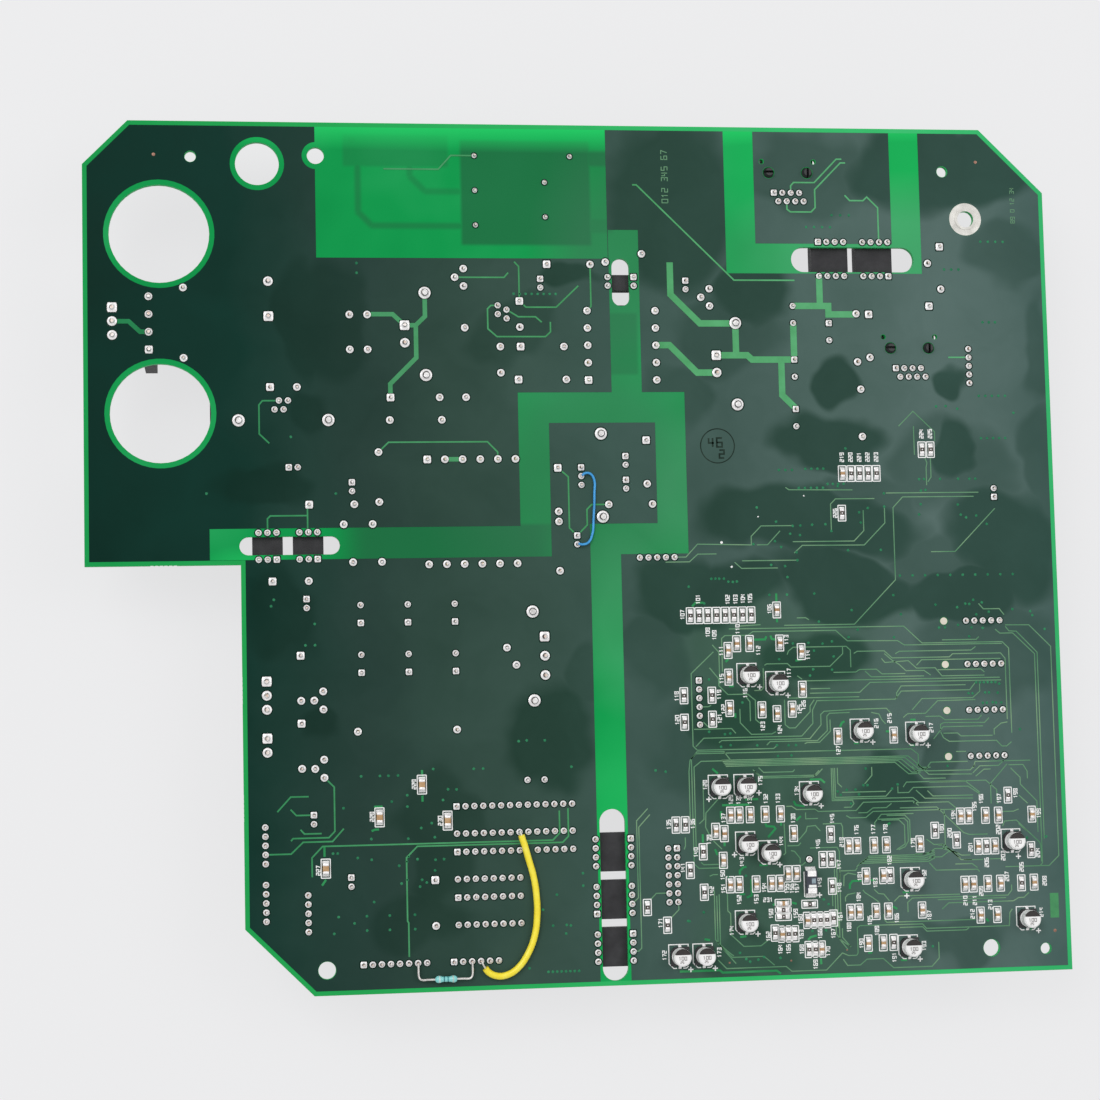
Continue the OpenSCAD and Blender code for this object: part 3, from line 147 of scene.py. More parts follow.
# Laminate: the board itself, glass cloth in epoxy, routed to shape and drilled.
# Solder mask on bare laminate makes the bright green of its border, barriers and upper field,
# and the sawn edge is paler, because light runs along the glass.
board_low, board_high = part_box("circuit_board")
LAYOUT_U, LAYOUT_V = board_low.x / MM, board_low.y / MM
BOARD_UNDER, BOARD_TOP = board_low.z / MM, board_high.z / MM
MASK_SHEEN = 0.045
MASK_PATCH, MASK_GRAIN = 55, 0.6
mask_tones = [(0.3, (4, 140, 68)), (0.5, (14, 152, 76)), (0.7, (38, 164, 92))]
FAR_TONE, SAWN_TONE = (31, 106, 65), (44, 184, 104)
THIN_HAZE_SHEEN_TONE, CLEAR_TONE, THICK_HAZE_SHEEN_TONE = (56, 118, 84), (36, 204, 102), (92, 176, 128)
# copper on the far face, as it shows through: middle, half sizes, turn, and how dark it looks
far_side_copper = [
    (126.6, 228.3, 18.9, 15.4, 0, 0.84), (149.2, 238.6, 4.5, 2.3, 0, 0.75), (148.4, 218.6, 3.6, 2.0, 0, 0.4),
    (89, 240.4, 15.2, 4.7, 0, 0.4), (76.4, 243.4, 1.4, 1.3, 0, 0.5), (90.2, 243, 2.3, 1.5, 0, 0.4),
    (103, 243, 1.2, 1.5, 0, 0.4), (78, 229.2, 0.9, 7.2, 0, 0.55), (79.9, 220.4, 0.9, 3.2, 45, 0.55),
    (95, 218.4, 13.6, 0.9, 0, 0.55), (93, 234.6, 0.9, 1.9, 0, 0.4), (95.2, 230.7, 0.9, 3.4, 45, 0.4),
    (102.6, 228.5, 5.6, 0.9, 0, 0.4), (151.4, 184, 7, 9, 0, 0.5)]
# the plane below the barrier is the same, but it fades in slowly along the barrier
barrier_plane = (103, 126.3, 30, 5.4, 0, 0.88)
FAR_BLUR, BARRIER_BLUR = 0.7, 7
# clouds on the bright mask, of thin and thick flux haze with painted sheen and of clear thin mask: middle, half
# sizes and depth
thin_haze_and_sheen = [(146, 146, 52, 58, 0.6), (152, 206, 26, 46, 0.6)]
clear_mask = [(150, 252, 260, 12, 0.95), (222, 242, 60, 34, 0.45), (154, 38, 28, 48, 0.45),
              (46, 119, 16, 8, 0.5)]
thick_haze_and_sheen = [(238, 210, 62, 26, 0.5), (176, 140, 26, 26, 0.25), (154, 104, 20, 30, 0.25)]
CLOUD_CORE = 0.6


def srgb(red, green, blue):
    """A screen colour, each share from 0 to 255, as the shader's linear colour."""
    shares = [c / 255 for c in (red, green, blue)]
    return tuple(c / 12.92 if c <= 0.04045 else ((c + 0.055) / 1.055) ** 2.4 for c in shares) + (1.0,)


def new_finish(name, **sockets):
    """A material with the given constant sockets, its node tree, its shader and the place on the object."""
    finish = bpy.data.materials.new(name)
    finish.use_nodes = True
    tree = finish.node_tree
    shader = tree.nodes["Principled BSDF"]
    for socket, value in sockets.items():
        shader.inputs[socket.replace("_", " ")].default_value = value
    return finish, tree, shader, node(tree, "TexCoord").outputs["Object"]


def ramp(tree, factor, stops):
    """A run of colours: screen colours of three numbers, or linear ones of four."""
    made = node(tree, "ValToRGB", {"Fac": factor})
    points = made.color_ramp.elements
    while len(points) < len(stops):
        points.new(1.0)
    for point, (place, colour) in zip(points, stops):
        point.position = place
        point.color = srgb(*colour) if len(colour) == 3 else colour
    return made.outputs["Color"]


def noise(tree, place, size, detail=3.0, rough=0.55):
    """Soft noise whose patches are about size millimetres across."""
    return node(tree, "TexNoise", {
        "Vector": place, "Scale": 1 / (size * MM), "Detail": detail, "Roughness": rough}).outputs["Fac"]


def remap(tree, value, start, end, low=0.0, high=1.0, smooth=False):
    """A value's run from start to end as a run from low to high, held there at both ends."""
    return node(tree, "MapRange", {
        "Value": value, "From Min": start, "From Max": end, "To Min": low, "To Max": high,
    }, interpolation_type="SMOOTHSTEP" if smooth else "LINEAR").outputs[0]


def blend(tree, share, under, over, how="MIX"):
    return node(tree, "MixRGB", {"Fac": share, "Color1": under, "Color2": over}, blend_type=how).outputs[0]


def highest(tree, values):
    top = values[0]
    for value in values[1:]:
        top = maths(tree, "MAXIMUM", top, value)
    return top


def lay_on(tree, shader, tone, rough, relief=None):
    """Joins tone and roughness to the shader, and relief by its height, strength and depth."""
    tree.links.new(tone, shader.inputs["Base Color"])
    tree.links.new(rough, shader.inputs["Roughness"])
    if relief:
        height, strength, depth = relief
        bump = node(tree, "Bump", {"Height": height, "Strength": strength, "Distance": depth * MM})
        tree.links.new(bump.outputs[0], shader.inputs["Normal"])


def dress(finish, *nodes):
    for name in nodes:
        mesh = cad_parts[name].data
        mesh.materials.clear()
        mesh.materials.append(finish)


def spot(u, v, z):
    """A place on the layout, in millimetres from its lower left corner, in the row frame in metres."""
    return ((LAYOUT_U + u) * MM, (LAYOUT_V + v) * MM, z * MM)


def patch_place(tree, place, u, v, half_u, half_v, turn=0):
    """A place as seen from a patch on the board's top: 0 at the middle and 1 at the end of each half size."""
    return node(tree, "Mapping", {
        "Vector": place, "Location": spot(u, v, BOARD_TOP), "Rotation": (0, 0, turn * pi / 180),
        "Scale": (half_u * MM, half_v * MM, 1)}, vector_type="TEXTURE").outputs[0]


def mound(tree, place, *patch):
    """1 at a patch's middle, falling evenly to 0 at its rim."""
    local = patch_place(tree, place, *patch)
    return node(tree, "TexGradient", {"Vector": local}, gradient_type="SPHERICAL").outputs["Fac"]


def size_along(tree, vector):
    """The three parts of a vector, without their signs."""
    plain = node(tree, "VectorMath", {0: vector}, operation="ABSOLUTE").outputs[0]
    return node(tree, "SeparateXYZ", {0: plain}).outputs


def bright_mask_finish():
    finish, tree, shader, place = new_finish("bright_mask", Specular_IOR_Level=MASK_SHEEN)
    tone = ramp(tree, noise(tree, place, MASK_PATCH), mask_tones)
    shadows = []
    for patch in far_side_copper + [barrier_plane]:
        u, v, half_u, half_v, turn, depth = patch
        blur = BARRIER_BLUR if patch == barrier_plane else FAR_BLUR
        off = size_along(tree, patch_place(tree, place, u, v, half_u, half_v, turn))
        along_u = remap(tree, off["X"], 1 + blur / half_u, 1 - blur / half_u, high=depth, smooth=True)
        along_v = remap(tree, off["Y"], 1 + FAR_BLUR / half_v, 1 - FAR_BLUR / half_v, smooth=True)
        shadows.append(maths(tree, "MULTIPLY", along_u, along_v))
    tone = blend(tree, highest(tree, shadows), tone, srgb(*FAR_TONE))
    # the haze clouds are flux haze and painted sheen together
    for clouds, over in ((thin_haze_and_sheen, THIN_HAZE_SHEEN_TONE), (clear_mask, CLEAR_TONE), (thick_haze_and_sheen, THICK_HAZE_SHEEN_TONE)):
        mounds = [remap(tree, mound(tree, place, *cloud), 0, CLOUD_CORE, high=depth)
                  for *cloud, depth in clouds]
        tone = blend(tree, highest(tree, mounds), tone, srgb(*over))
    upright = size_along(tree, node(tree, "NewGeometry").outputs["True Normal"])["Z"]
    tone = blend(tree, remap(tree, upright, 0.5, 0.9), srgb(*SAWN_TONE), tone)
    fine = noise(tree, place, MASK_GRAIN)
    lay_on(tree, shader, tone, remap(tree, fine, 0, 1, 0.25, 0.5), (fine, 0.12, 0.3))
    return finish


dress(bright_mask_finish(), "circuit_board")

# Board border: the bare margin outside the copper, cut clean by the router.
# Light runs in through the sawn edge and makes the mask there paler, most of all towards the right.
BORDER_W, BORDER_GAP = 1.3, 0.08
BORDER_LOW, BORDER_HIGH = BOARD_TOP - 0.02, BOARD_TOP + 0.012
NOTCH_W, NOTCH_H = 43.4, 121.0
LOWER_LEFT_CUT, UPPER_LEFT_CUT, UPPER_RIGHT_CUT = 19.0, 12.8, 19.0
board_right, board_far = board_high.x / MM - LAYOUT_U, board_high.y / MM - LAYOUT_V
inset = BORDER_W / 2
slant = inset * (sqrt(2) - 1)
border_line = [
    (NOTCH_W + inset, LOWER_LEFT_CUT + slant), (NOTCH_W + LOWER_LEFT_CUT + slant, inset),
    (board_right - inset, inset), (board_right - inset, board_far - UPPER_RIGHT_CUT - slant),
    (board_right - UPPER_RIGHT_CUT - slant, board_far - inset), (UPPER_LEFT_CUT + slant, board_far - inset),
    (inset, board_far - UPPER_LEFT_CUT - slant), (inset, NOTCH_H + inset), (NOTCH_W + inset, NOTCH_H + inset)]
border_tones = [(0.0, (24, 154, 77)), (0.2, (36, 164, 82)), (0.5, (48, 182, 100)), (0.85, (62, 194, 115)),
                (1.0, (56, 182, 110))]
BORDER_PATCH = 20
border_shade = [(0.3, (0.88, 0.94, 0.9, 1.0)), (0.7, (1.06, 1.03, 1.05, 1.0))]


def eastward(tree, place):
    """How far across the board a place is, from 0 at its left edge to 1 at its right."""
    x = node(tree, "SeparateXYZ", {0: place}).outputs["X"]
    return remap(tree, x, LAYOUT_U * MM, -LAYOUT_U * MM)


def border_finish():
    finish, tree, shader, place = new_finish("border_mask", Specular_IOR_Level=MASK_SHEEN)
    tone = ramp(tree, eastward(tree, place), border_tones)
    shade = ramp(tree, noise(tree, place, BORDER_PATCH), border_shade)
    tone = blend(tree, 1.0, tone, shade, "MULTIPLY")
    lay_on(tree, shader, tone, remap(tree, noise(tree, place, MASK_GRAIN), 0, 1, 0.3, 0.5))
    return finish


def piece(name, shape, finish, smooth=False):
    corners, sides = shape
    mesh = bpy.data.meshes.new(name)
    mesh.from_pydata(corners, [], sides)
    mesh.materials.append(finish)
    if smooth:
        mesh.shade_smooth()
    made = placed(name, mesh)
    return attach(made, "root")


def skin(rings, count, loop=False, inward=False):
    """The faces between neighbouring rings of count corners, and from the last to the first in a loop."""
    pairs = [(a, (a + 1) % rings) for a in range(rings if loop else rings - 1)]
    faces = [(a * count + k, a * count + (k + 1) % count, b * count + (k + 1) % count, b * count + k)
             for a, b in pairs for k in range(count)]
    return [(face[0], *face[:0:-1]) for face in faces] if inward else faces


def strip(line, width, low, high, closed=False):
    """A flat bar of one width that follows a line of corners, with mitred bends."""
    points = [Vector(p) for p in line]
    count = len(points)
    corners = []
    for i, point in enumerate(points):
        before = points[i] - points[i - 1] if i or closed else points[1] - points[0]
        after = points[(i + 1) % count] - points[i] if i < count - 1 or closed else before
        before, after = before.normalized(), after.normalized()
        side = Vector((-before.y - after.y, before.x + after.x))
        side *= width / 2 / max(0.35, 1 + before.dot(after))
        for level, sign in ((low, -1), (low, 1), (high, 1), (high, -1)):
            corners.append(spot(point.x + sign * side.x, point.y + sign * side.y, level))
    end = 4 * (count - 1)
    ends = [] if closed else [(0, 1, 2, 3), (end + 3, end + 2, end + 1, end)]
    return corners, skin(count, 4, loop=closed, inward=True) + ends


border = strip(border_line, BORDER_W - BORDER_GAP, BORDER_LOW, BORDER_HIGH, closed=True)
piece("board_border", border, border_finish())

# Copper planes: etched copper under dark glossy mask, one sheet on each face of the board.
# Flux from the soldering wave lies on it as a pale haze, wiped thin in places, and painted sheen pales it
# rightwards.
PLANE_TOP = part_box("copper_planes")[1].z / MM
# where the haze is wiped off, clearly or faintly: middle, half sizes and turn of each dark patch
clear_patches = [
    (170, 226, 25, 32, 0), (244, 236, 28, 17, 0), (264, 238, 22, 13, 0), (193, 198, 15, 13, 0),
    (213, 155, 20, 9, -8), (218, 172, 8, 9, 0), (252, 151, 10, 13, 0), (208, 131, 44, 14, -5),
    (180, 111, 22, 10, 0), (216, 112, 30, 11, -12), (268, 124, 22, 23, 0), (250, 109, 22, 10, 0),
    (208, 91, 21, 11, 0), (181, 73, 20, 12, 0), (230, 52, 15, 10, 0), (131, 70, 16, 19, -10),
    (140, 203, 10, 7, 0), (252, 172, 6, 6, 0), (167, 112, 15, 13, 0)]
faint_patches = [
    (50, 142, 15, 8, 0), (61, 190, 9, 22, 0), (62, 161, 9, 8, 0), (52, 106, 12, 15, 0),
    (122, 188, 16, 10, 20), (98, 42, 12, 22, 0), (141, 89, 8, 14, 0), (66, 75, 8, 6, 0),
    (185, 186, 20, 16, 0), (170, 168, 13, 11, 0), (250, 148, 22, 16, 0), (246, 63, 8, 7, 0),
    (162, 94, 12, 16, 0), (278, 182, 7, 20, 0), (90, 20, 18, 12, 0), (250, 10, 16, 8, 0), (188, 8, 16, 7, 0),
    (228, 136, 20, 13, -10), (246, 118, 20, 11, 0), (178, 66, 22, 20, 0), (278, 150, 9, 16, 0),
    (212, 234, 22, 16, 0), (262, 92, 26, 18, 0), (70, 190, 13, 22, 0), (270, 212, 14, 12, 0)]
CLEAR_DEPTH, FAINT_DEPTH = 0.9, 0.5
# tones of the mask from left to right, hazy and clean and in the crowded corner, paler rightwards as painted sheen
LAYOUT_W = 282
haze_and_sheen_tones = [
    (0, (7, 46, 37)), (40, (14, 53, 44)), (60, (33, 62, 54)), (80, (42, 66, 59)), (100, (49, 74, 65)),
    (125, (58, 83, 74)), (150, (63, 89, 81)), (185, (73, 97, 91)), (215, (81, 105, 99)),
    (250, (88, 111, 106)), (268, (84, 108, 103)), (282, (72, 98, 93))]
clean_sheen_tones = [
    (0, (2, 37, 27)), (70, (16, 46, 36)), (105, (32, 59, 48)), (150, (41, 70, 59)), (200, (43, 71, 61)),
    (282, (46, 76, 67))]
CROWDED_HAZE_AND_SHEEN, CROWDED_CLEAN_SHEEN = (64, 96, 80), (40, 75, 59)
# the sides of that corner: axis, where it starts and is full, and how far it goes
crowded_sides = [("X", LAYOUT_U + 164, LAYOUT_U + 178, 0.8), ("X", LAYOUT_U + 248, LAYOUT_U + 194, 1),
                 ("Y", LAYOUT_V + 112, LAYOUT_V + 100, 1)]
SWIRL_SCALE, WANDER = 45.0, 0.022
SMEAR_PATCH = 30
smear_shade = [(0.3, (0.8, 0.84, 0.82, 1.0)), (0.7, (1.06, 1.04, 1.05, 1.0))]


def tones_across(tree, east, tones):
    return ramp(tree, east, [(u / LAYOUT_W, tone) for u, tone in tones])


def plane_finish():
    finish, tree, shader, place = new_finish("dark_mask", Specular_IOR_Level=MASK_SHEEN)
    swirl = node(tree, "TexNoise", {"Vector": place, "Scale": SWIRL_SCALE, "Detail": 2.0}).outputs["Color"]
    wander = node(tree, "VectorMath", {0: swirl, 1: (WANDER, WANDER, 0.0), 2: place}, operation="MULTIPLY_ADD")
    middle = (WANDER / 2, WANDER / 2, 0.0)
    wander = node(tree, "VectorMath", {0: wander.outputs[0], 1: middle}, operation="SUBTRACT").outputs[0]
    # painted sheen: both runs of tones grow paler towards the right
    east = eastward(tree, wander)
    haze_and_sheen, clean_sheen = tones_across(tree, east, haze_and_sheen_tones), tones_across(tree, east, clean_sheen_tones)
    axes = node(tree, "SeparateXYZ", {0: wander}).outputs
    crowded = 1.0
    for axis, start, full, depth in crowded_sides:
        side = remap(tree, axes[axis], start * MM, full * MM, high=depth, smooth=True)
        crowded = maths(tree, "MULTIPLY", crowded, side)
    haze_and_sheen = blend(tree, crowded, haze_and_sheen, srgb(*CROWDED_HAZE_AND_SHEEN))
    clean_sheen = blend(tree, crowded, clean_sheen, srgb(*CROWDED_CLEAN_SHEEN))
    wiped = []
    for patches, depth in ((clear_patches, CLEAR_DEPTH), (faint_patches, FAINT_DEPTH)):
        mounds = highest(tree, [mound(tree, wander, *patch) for patch in patches])
        wiped.append(remap(tree, mounds, 0.02, 0.34, high=depth, smooth=True))
    tone = blend(tree, highest(tree, wiped), haze_and_sheen, clean_sheen)
    smear = noise(tree, wander, SMEAR_PATCH, detail=4.0, rough=0.62)
    tone = blend(tree, 1.0, tone, ramp(tree, smear, smear_shade), "MULTIPLY")
    lay_on(tree, shader, tone, remap(tree, smear, 0.3, 0.7, 0.3, 0.5), (noise(tree, place, 0.8), 0.1, 0.2))
    return finish


dress(plane_finish(), "copper_planes")
under_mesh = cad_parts["copper_planes"].data.copy()
under_mesh.transform(Matrix.Translation((0, 0, (BOARD_UNDER - PLANE_TOP) * MM)))
under_planes = placed("under_planes", under_mesh)
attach(under_planes, "root")

# Tracks: the wide ones carry the supply, and fine ones run in bundles between the control parts.
# All are etched copper lines under the green mask, which stands a hair higher over them.
FINE_W, STUB_W = 0.29, 0.62
FINE_LOW, FINE_HIGH = PLANE_TOP - 0.02, PLANE_TOP + 0.03
STUB_HIGH = FINE_HIGH + 0.01
fine_tracks = [
    # under the two chips of the open area
    [(243, 150.4), (243.7, 148.6), (243.4, 147.2), (243.4, 142)],
    [(244.8, 150), (244.8, 144.4), (243.8, 143)],
    # loops and weaving runs at the right
    [(228, 45.9), (233.4, 45.9), (234.8, 44.4), (234.8, 37.5)],
    [(226.4, 44.6), (231.6, 44.6), (233.2, 43), (233.2, 37.6), (230.6, 36)],
    [(254.2, 57.6), (256.4, 59.6), (262, 59.6), (263.6, 61)], [(255, 56.6), (257.6, 58.6), (259.6, 58.6)],
    [(236, 34.6), (240, 34.6), (242, 36), (246, 36), (249, 33.4)],
    [(240, 33.6), (244, 33.6), (246, 35), (247.4, 35), (249.6, 33)],
    [(243, 37), (245, 37), (249.8, 32.6), (253, 32.6)], [(236, 49.4), (246.6, 49.4), (250, 46.6)],
    [(241, 55.2), (252, 55.2), (256, 52)],
    # upright runs beside the tantalum capacitor
    [(212, 31), (212, 12.4), (213.4, 10.6), (216, 8.8)], [(212.7, 33.4), (212.7, 14.2)],
    [(213.5, 30), (213.5, 16)], [(211.2, 24.4), (211.2, 20.4)],
    # beside the lower barrier and round the block header
    [(152.8, 9.4), (154.4, 9.5), (155.2, 10.3), (155.2, 44.5), (158.5, 48)],
    [(152.8, 22.9), (154.6, 24.5), (154.6, 46.3), (157.9, 49.7)], [(158.2, 24), (159.8, 25.6), (162.6, 25.6)],
    [(163.9, 18.5), (166.2, 20.8), (166.2, 22.6)], [(168.2, 37.8), (168.6, 38.8), (168.6, 41.2)],
    [(170.2, 46.2), (170.2, 60), (170.6, 63.2), (172.4, 65), (236, 65), (238, 63.4), (238, 60.2), (241, 57.5),
     (254, 57.3)],
    [(180, 32.3), (172.4, 32.3), (171, 33.6), (171, 63.6), (172.6, 65.5), (180.5, 65.5), (182.4, 63)],
    [(171.7, 36), (171.7, 61.2), (173.8, 62.8), (181, 62.8)], [(174.2, 57), (174.2, 46.2), (172.8, 45)],
    [(178.4, 51.8), (174.8, 48), (174.6, 44), (176, 41)], [(173, 34), (173.8, 33.3), (178.2, 33.3)],
    # round the six-pin row and the two upper cans
    [(178.3, 94.2), (171.6, 88), (171.6, 67.2), (172.8, 66), (195.2, 66), (196.2, 66.8)],
    [(172, 72), (183, 72), (184.2, 70.6)],
    [(172.4, 67), (174.8, 69.4), (203.6, 69.4), (207, 73), (207, 76.8), (208.4, 79.5), (231.7, 79.5),
     (233.6, 81.8),
     (254.2, 81.8), (256.1, 84.1)],
    [(179.2, 68), (180, 68.6), (206, 68.6), (209.4, 72.5), (209.4, 75.5), (210.4, 76.4), (219.4, 76.8),
     (229, 76.9), (230.6, 75)],
    [(193.2, 67), (194.2, 68), (208.2, 68), (211.2, 70.8), (211.2, 75), (212, 75.8), (218, 75.9)],
    [(204.4, 67.2), (205.2, 67.5), (208.8, 67.5), (212.1, 70.6), (212.1, 74)],
    [(185.6, 77.6), (185.6, 73.6), (188.8, 70.2), (194.8, 70.2), (196, 70.8)],
    [(188.6, 74), (188.6, 79.6), (187.4, 81.2)],
    [(177, 89.6), (179.6, 86.4), (179.6, 84.4), (182.2, 81.8), (188, 81.8), (190.2, 80), (190.2, 74.4),
     (191.6, 73.2)],
    [(179.9, 84.8), (179.9, 94), (178, 96.2)],
    [(180.8, 88.4), (180.8, 98), (181.8, 98.8), (188.6, 98.8), (190, 99.8), (214.6, 99.8), (218, 96.7),
     (233, 96.5),
     (235, 95.2), (264.4, 95.2)],
    [(183, 100.7), (235, 100.7), (240.3, 95.7), (264.5, 95.7), (266.4, 93.8), (266.4, 69)],
    [(193.2, 90), (193.8, 90.4), (200, 90.4), (201, 89.4), (212.6, 89.4), (216.5, 93), (216.5, 95)],
    [(200, 93), (200.4, 94), (201.8, 95.1), (217.6, 95.1), (218.8, 94), (218.8, 89)],
    [(192.8, 89.2), (192.8, 83.6), (192, 82.8), (190, 82.8)],
    [(198.8, 80), (198.8, 72.8), (200, 71.8), (201.8, 71.8), (206.3, 76.4), (206.3, 78), (207.6, 79.8)],
    [(200, 80.4), (221, 80.4)], [(206.6, 83), (212.5, 83)], [(202.8, 86.8), (204.2, 85.8)],
    [(206.4, 81.7), (221.2, 81.7), (224.4, 84.5), (263.8, 84.5)], [(204.8, 85.3), (263.4, 85.3)],
    [(203.2, 103.6), (205.8, 103.6), (206.8, 103)], [(186.4, 101.5), (192.4, 101.8)],
    [(174.6, 78.4), (176.4, 78.4), (177.2, 78.8)], [(174.8, 74), (176.4, 72.4)],
    # bundles between the four side headers
    [(257.8, 107), (259.2, 105.4), (264, 105.4), (265.4, 103.6)],
    [(246.4, 96.5), (256.7, 96.5), (257.5, 97.3)],
    [(262.5, 99.4), (263.9, 98.2), (267.8, 98.2), (274.2, 92), (274.2, 31), (273.4, 30.2), (263, 30.2)],
    [(265.6, 100.2), (266.7, 98.8), (268.9, 98.7), (275, 92.4), (275, 38)],
    [(265.6, 100.6), (272.8, 100.5), (279.2, 94.1), (279.2, 33), (276.2, 30.2), (273.6, 30.2)],
    [(219.8, 93), (220.8, 93.6), (228.9, 93.6), (231.2, 91.5), (248.4, 91.5), (249.4, 92.4), (263.9, 92.4),
     (265.2, 90.8), (265.2, 73)],
    [(232.2, 92.7), (233.4, 93.4), (255, 93.4), (256.4, 94.4)],
    [(228, 91.4), (229, 90.2), (236, 90.6), (238.4, 88.4), (244, 88.4), (246, 86), (258.8, 86)],
    [(228.9, 92.8), (231.2, 90.8), (233.2, 89.6), (235.2, 87.7), (240.6, 87.7), (242.6, 86.3)],
    [(213.6, 87.6), (220.2, 87.6), (221.4, 88.3), (226.4, 88.3), (228, 86.9), (235, 86.9)],
    [(223, 87.8), (224.8, 86.1), (240.6, 86.1)], [(244.6, 87.8), (257.8, 87.8), (258.8, 86.9)],
    [(238.4, 89.2), (240, 90.8), (263.8, 90.8)], [(232.2, 79.7), (232.2, 81.3), (233.6, 83.3), (253, 83.3)],
    [(236.7, 76.3), (239.7, 79.5), (255, 79.5), (257.2, 81.3), (257.2, 83.8)],
    [(233.9, 74.1), (235.3, 75.2), (240.6, 75.2), (244.4, 78.8), (255.8, 78.9)],
    [(240.6, 74.3), (245, 74.3), (246.4, 73.2), (256.4, 73.2), (257.5, 74.4)],
    [(245, 70.2), (245, 71.9), (246.1, 72.4), (258.3, 72.2), (259.7, 73.6)],
    [(242.8, 67.7), (245.8, 71.2), (257.8, 71.2)], [(245.8, 69.3), (250, 69.3), (251.1, 68.4), (260.6, 68.4)],
    [(245, 69.7), (245.8, 68), (247.5, 66.9), (261.7, 66.9), (263.3, 65.2), (264.7, 65.2), (266.2, 66.4)],
    [(249.4, 63.9), (252.4, 63.9)], [(261.1, 68.6), (261.1, 70.2), (263.3, 71.9), (265.2, 72.2)],
    [(240, 58.8), (241.7, 61), (252.8, 61)], [(254.4, 59), (255, 60.9), (271.7, 60.9)],
    [(265, 59.7), (269.4, 59.7), (270.6, 57.7), (270.6, 55.6)],
    [(224.4, 75.8), (226.7, 75.3), (227.5, 73.6), (228.6, 72.4)],
    # under the middle cans and down to the lower edge
    [(175.4, 30), (176.4, 30.4), (177.8, 30.4)], [(176.8, 40), (179.2, 37.6)],
    [(176.6, 26), (176.6, 12), (178.6, 9.4), (182.4, 5)],
    [(177.3, 24.4), (177.3, 10.8), (181.4, 6.8), (190.6, 6.8), (193.6, 4.2)],
    [(178, 24.8), (178, 10.4), (180.6, 8.1), (181.8, 7.2)],
    [(180.4, 24.8), (180.4, 20), (181.2, 19.2), (181.2, 13.2), (184.8, 9.8), (189.8, 9.8), (192, 11.4)],
    [(177.2, 6.2), (179.6, 3.7), (197, 3.7), (198.6, 2.3), (208.8, 2.3), (213.6, 7), (215.4, 6.2),
     (217.8, 6.2), (218.2, 6.8), (218.2, 14), (219, 14.6), (237.6, 14.5), (238.7, 13.2), (263.5, 13.2),
     (263.8, 17), (264.6, 18)],
    [(197.6, 44.4), (197.8, 36), (197.2, 35.4)], [(204, 47.4), (204, 45.6), (207.6, 45.6)],
    [(198.4, 49.3), (200, 49.3), (201.4, 48.3), (206.8, 48.3), (207.8, 47.6), (219, 47.6), (221.2, 49.9),
     (236, 49.9), (237.6, 48.6)],
    [(201.8, 39.6), (204, 42), (204.4, 43.4), (206.8, 43.6), (208.2, 42)],
    [(198.4, 38), (201.6, 38), (202.4, 38.8)], [(199.4, 36.6), (200.4, 36.4), (202, 34.4), (202, 33)],
    [(203.6, 33.2), (202.6, 32.4), (201.8, 32.3)], [(190.6, 60.6), (192, 59.2), (200.6, 59.2), (201.2, 59.8)],
    # the maze right of the middle cans
    [(213.8, 60), (213.8, 55.6), (215, 54.4)], [(224, 60), (224, 57.6), (221.8, 55.2)],
    [(212, 60), (212, 50.6), (218, 50.6), (218.4, 49.6), (217.6, 48.6), (215.4, 48.6)],
    [(213, 60), (213, 51.5), (228, 51.5), (229.8, 53.4)],
    [(212.5, 60), (212.5, 51), (236, 50.9), (237.6, 49.6)], [(215, 52.9), (228, 52.9)],
    [(219.6, 46.9), (222.2, 46.9), (224, 48.2), (228, 48.2), (229.6, 49.4)],
    [(216, 46.2), (217.2, 45.5), (221.8, 45.5), (224, 47.2), (244, 47.2), (248.4, 47.2)],
    [(224.4, 42.4), (224.4, 44), (226.4, 46.3), (236, 46.3)],
    [(231.2, 36), (233.2, 36.8), (234.2, 38.4), (234.2, 44), (233.2, 45), (225.2, 44.9)],
    [(209, 44), (214.4, 44), (214.8, 43), (214.8, 39)], [(205, 37.2), (213, 37.2), (213.6, 36), (213.6, 28)],
    [(213.6, 30.4), (218.2, 30.4), (218.8, 31.2)], [(214.6, 26), (214.8, 29), (216, 29.7), (218.4, 29.2)],
    [(215, 21.6), (215, 22.8), (215.8, 23.6), (218, 24)],
    [(220.2, 24.8), (220.8, 24), (223.2, 22.4), (224.8, 21.2)],
    [(223.6, 24.8), (224.8, 23.6), (226.4, 23.4), (228, 21.4)], [(229.4, 21.2), (231, 22.7), (249, 22.7)],
    [(233.4, 18), (233.4, 20.8), (234.8, 22), (263.4, 22), (264.6, 23.4), (264.6, 25)],
    [(226.2, 17.6), (226.4, 16), (227, 15.3), (253.4, 15.3)], [(213, 17.6), (213, 10.8), (215.2, 8)],
    [(213.8, 14), (213.8, 11.4), (216.2, 8.6)],
    [(230.8, 13.7), (237.6, 13.7), (238.8, 12.4), (250.6, 12.4), (251.4, 13)],
    [(213.8, 5.2), (215, 3.4), (218.8, 3.4), (220.8, 5), (225.6, 5), (228.6, 2.3), (240, 2.3), (242.2, 4.6),
     (242.2, 9.2)],
    [(233.2, 54), (234.2, 55.4), (258, 55.4), (261.2, 52.6), (261.2, 48.4)],
    [(231.6, 54.2), (231.6, 52.4), (234.8, 52.4), (236.2, 53.8), (252.6, 53.8), (256.2, 51.4)],
    [(237, 53), (239.6, 50.6), (254, 50.3)], [(240.4, 52.8), (242, 51.2), (254, 51.2)],
    [(232, 48), (243, 48), (250.8, 40.4), (252.6, 39.8), (258, 39.8)],
    # the lower right corner
    [(236, 60), (239.4, 56.3), (246, 56.3)], [(237.4, 60.4), (240.6, 58.5), (253.5, 58.5), (255, 60)],
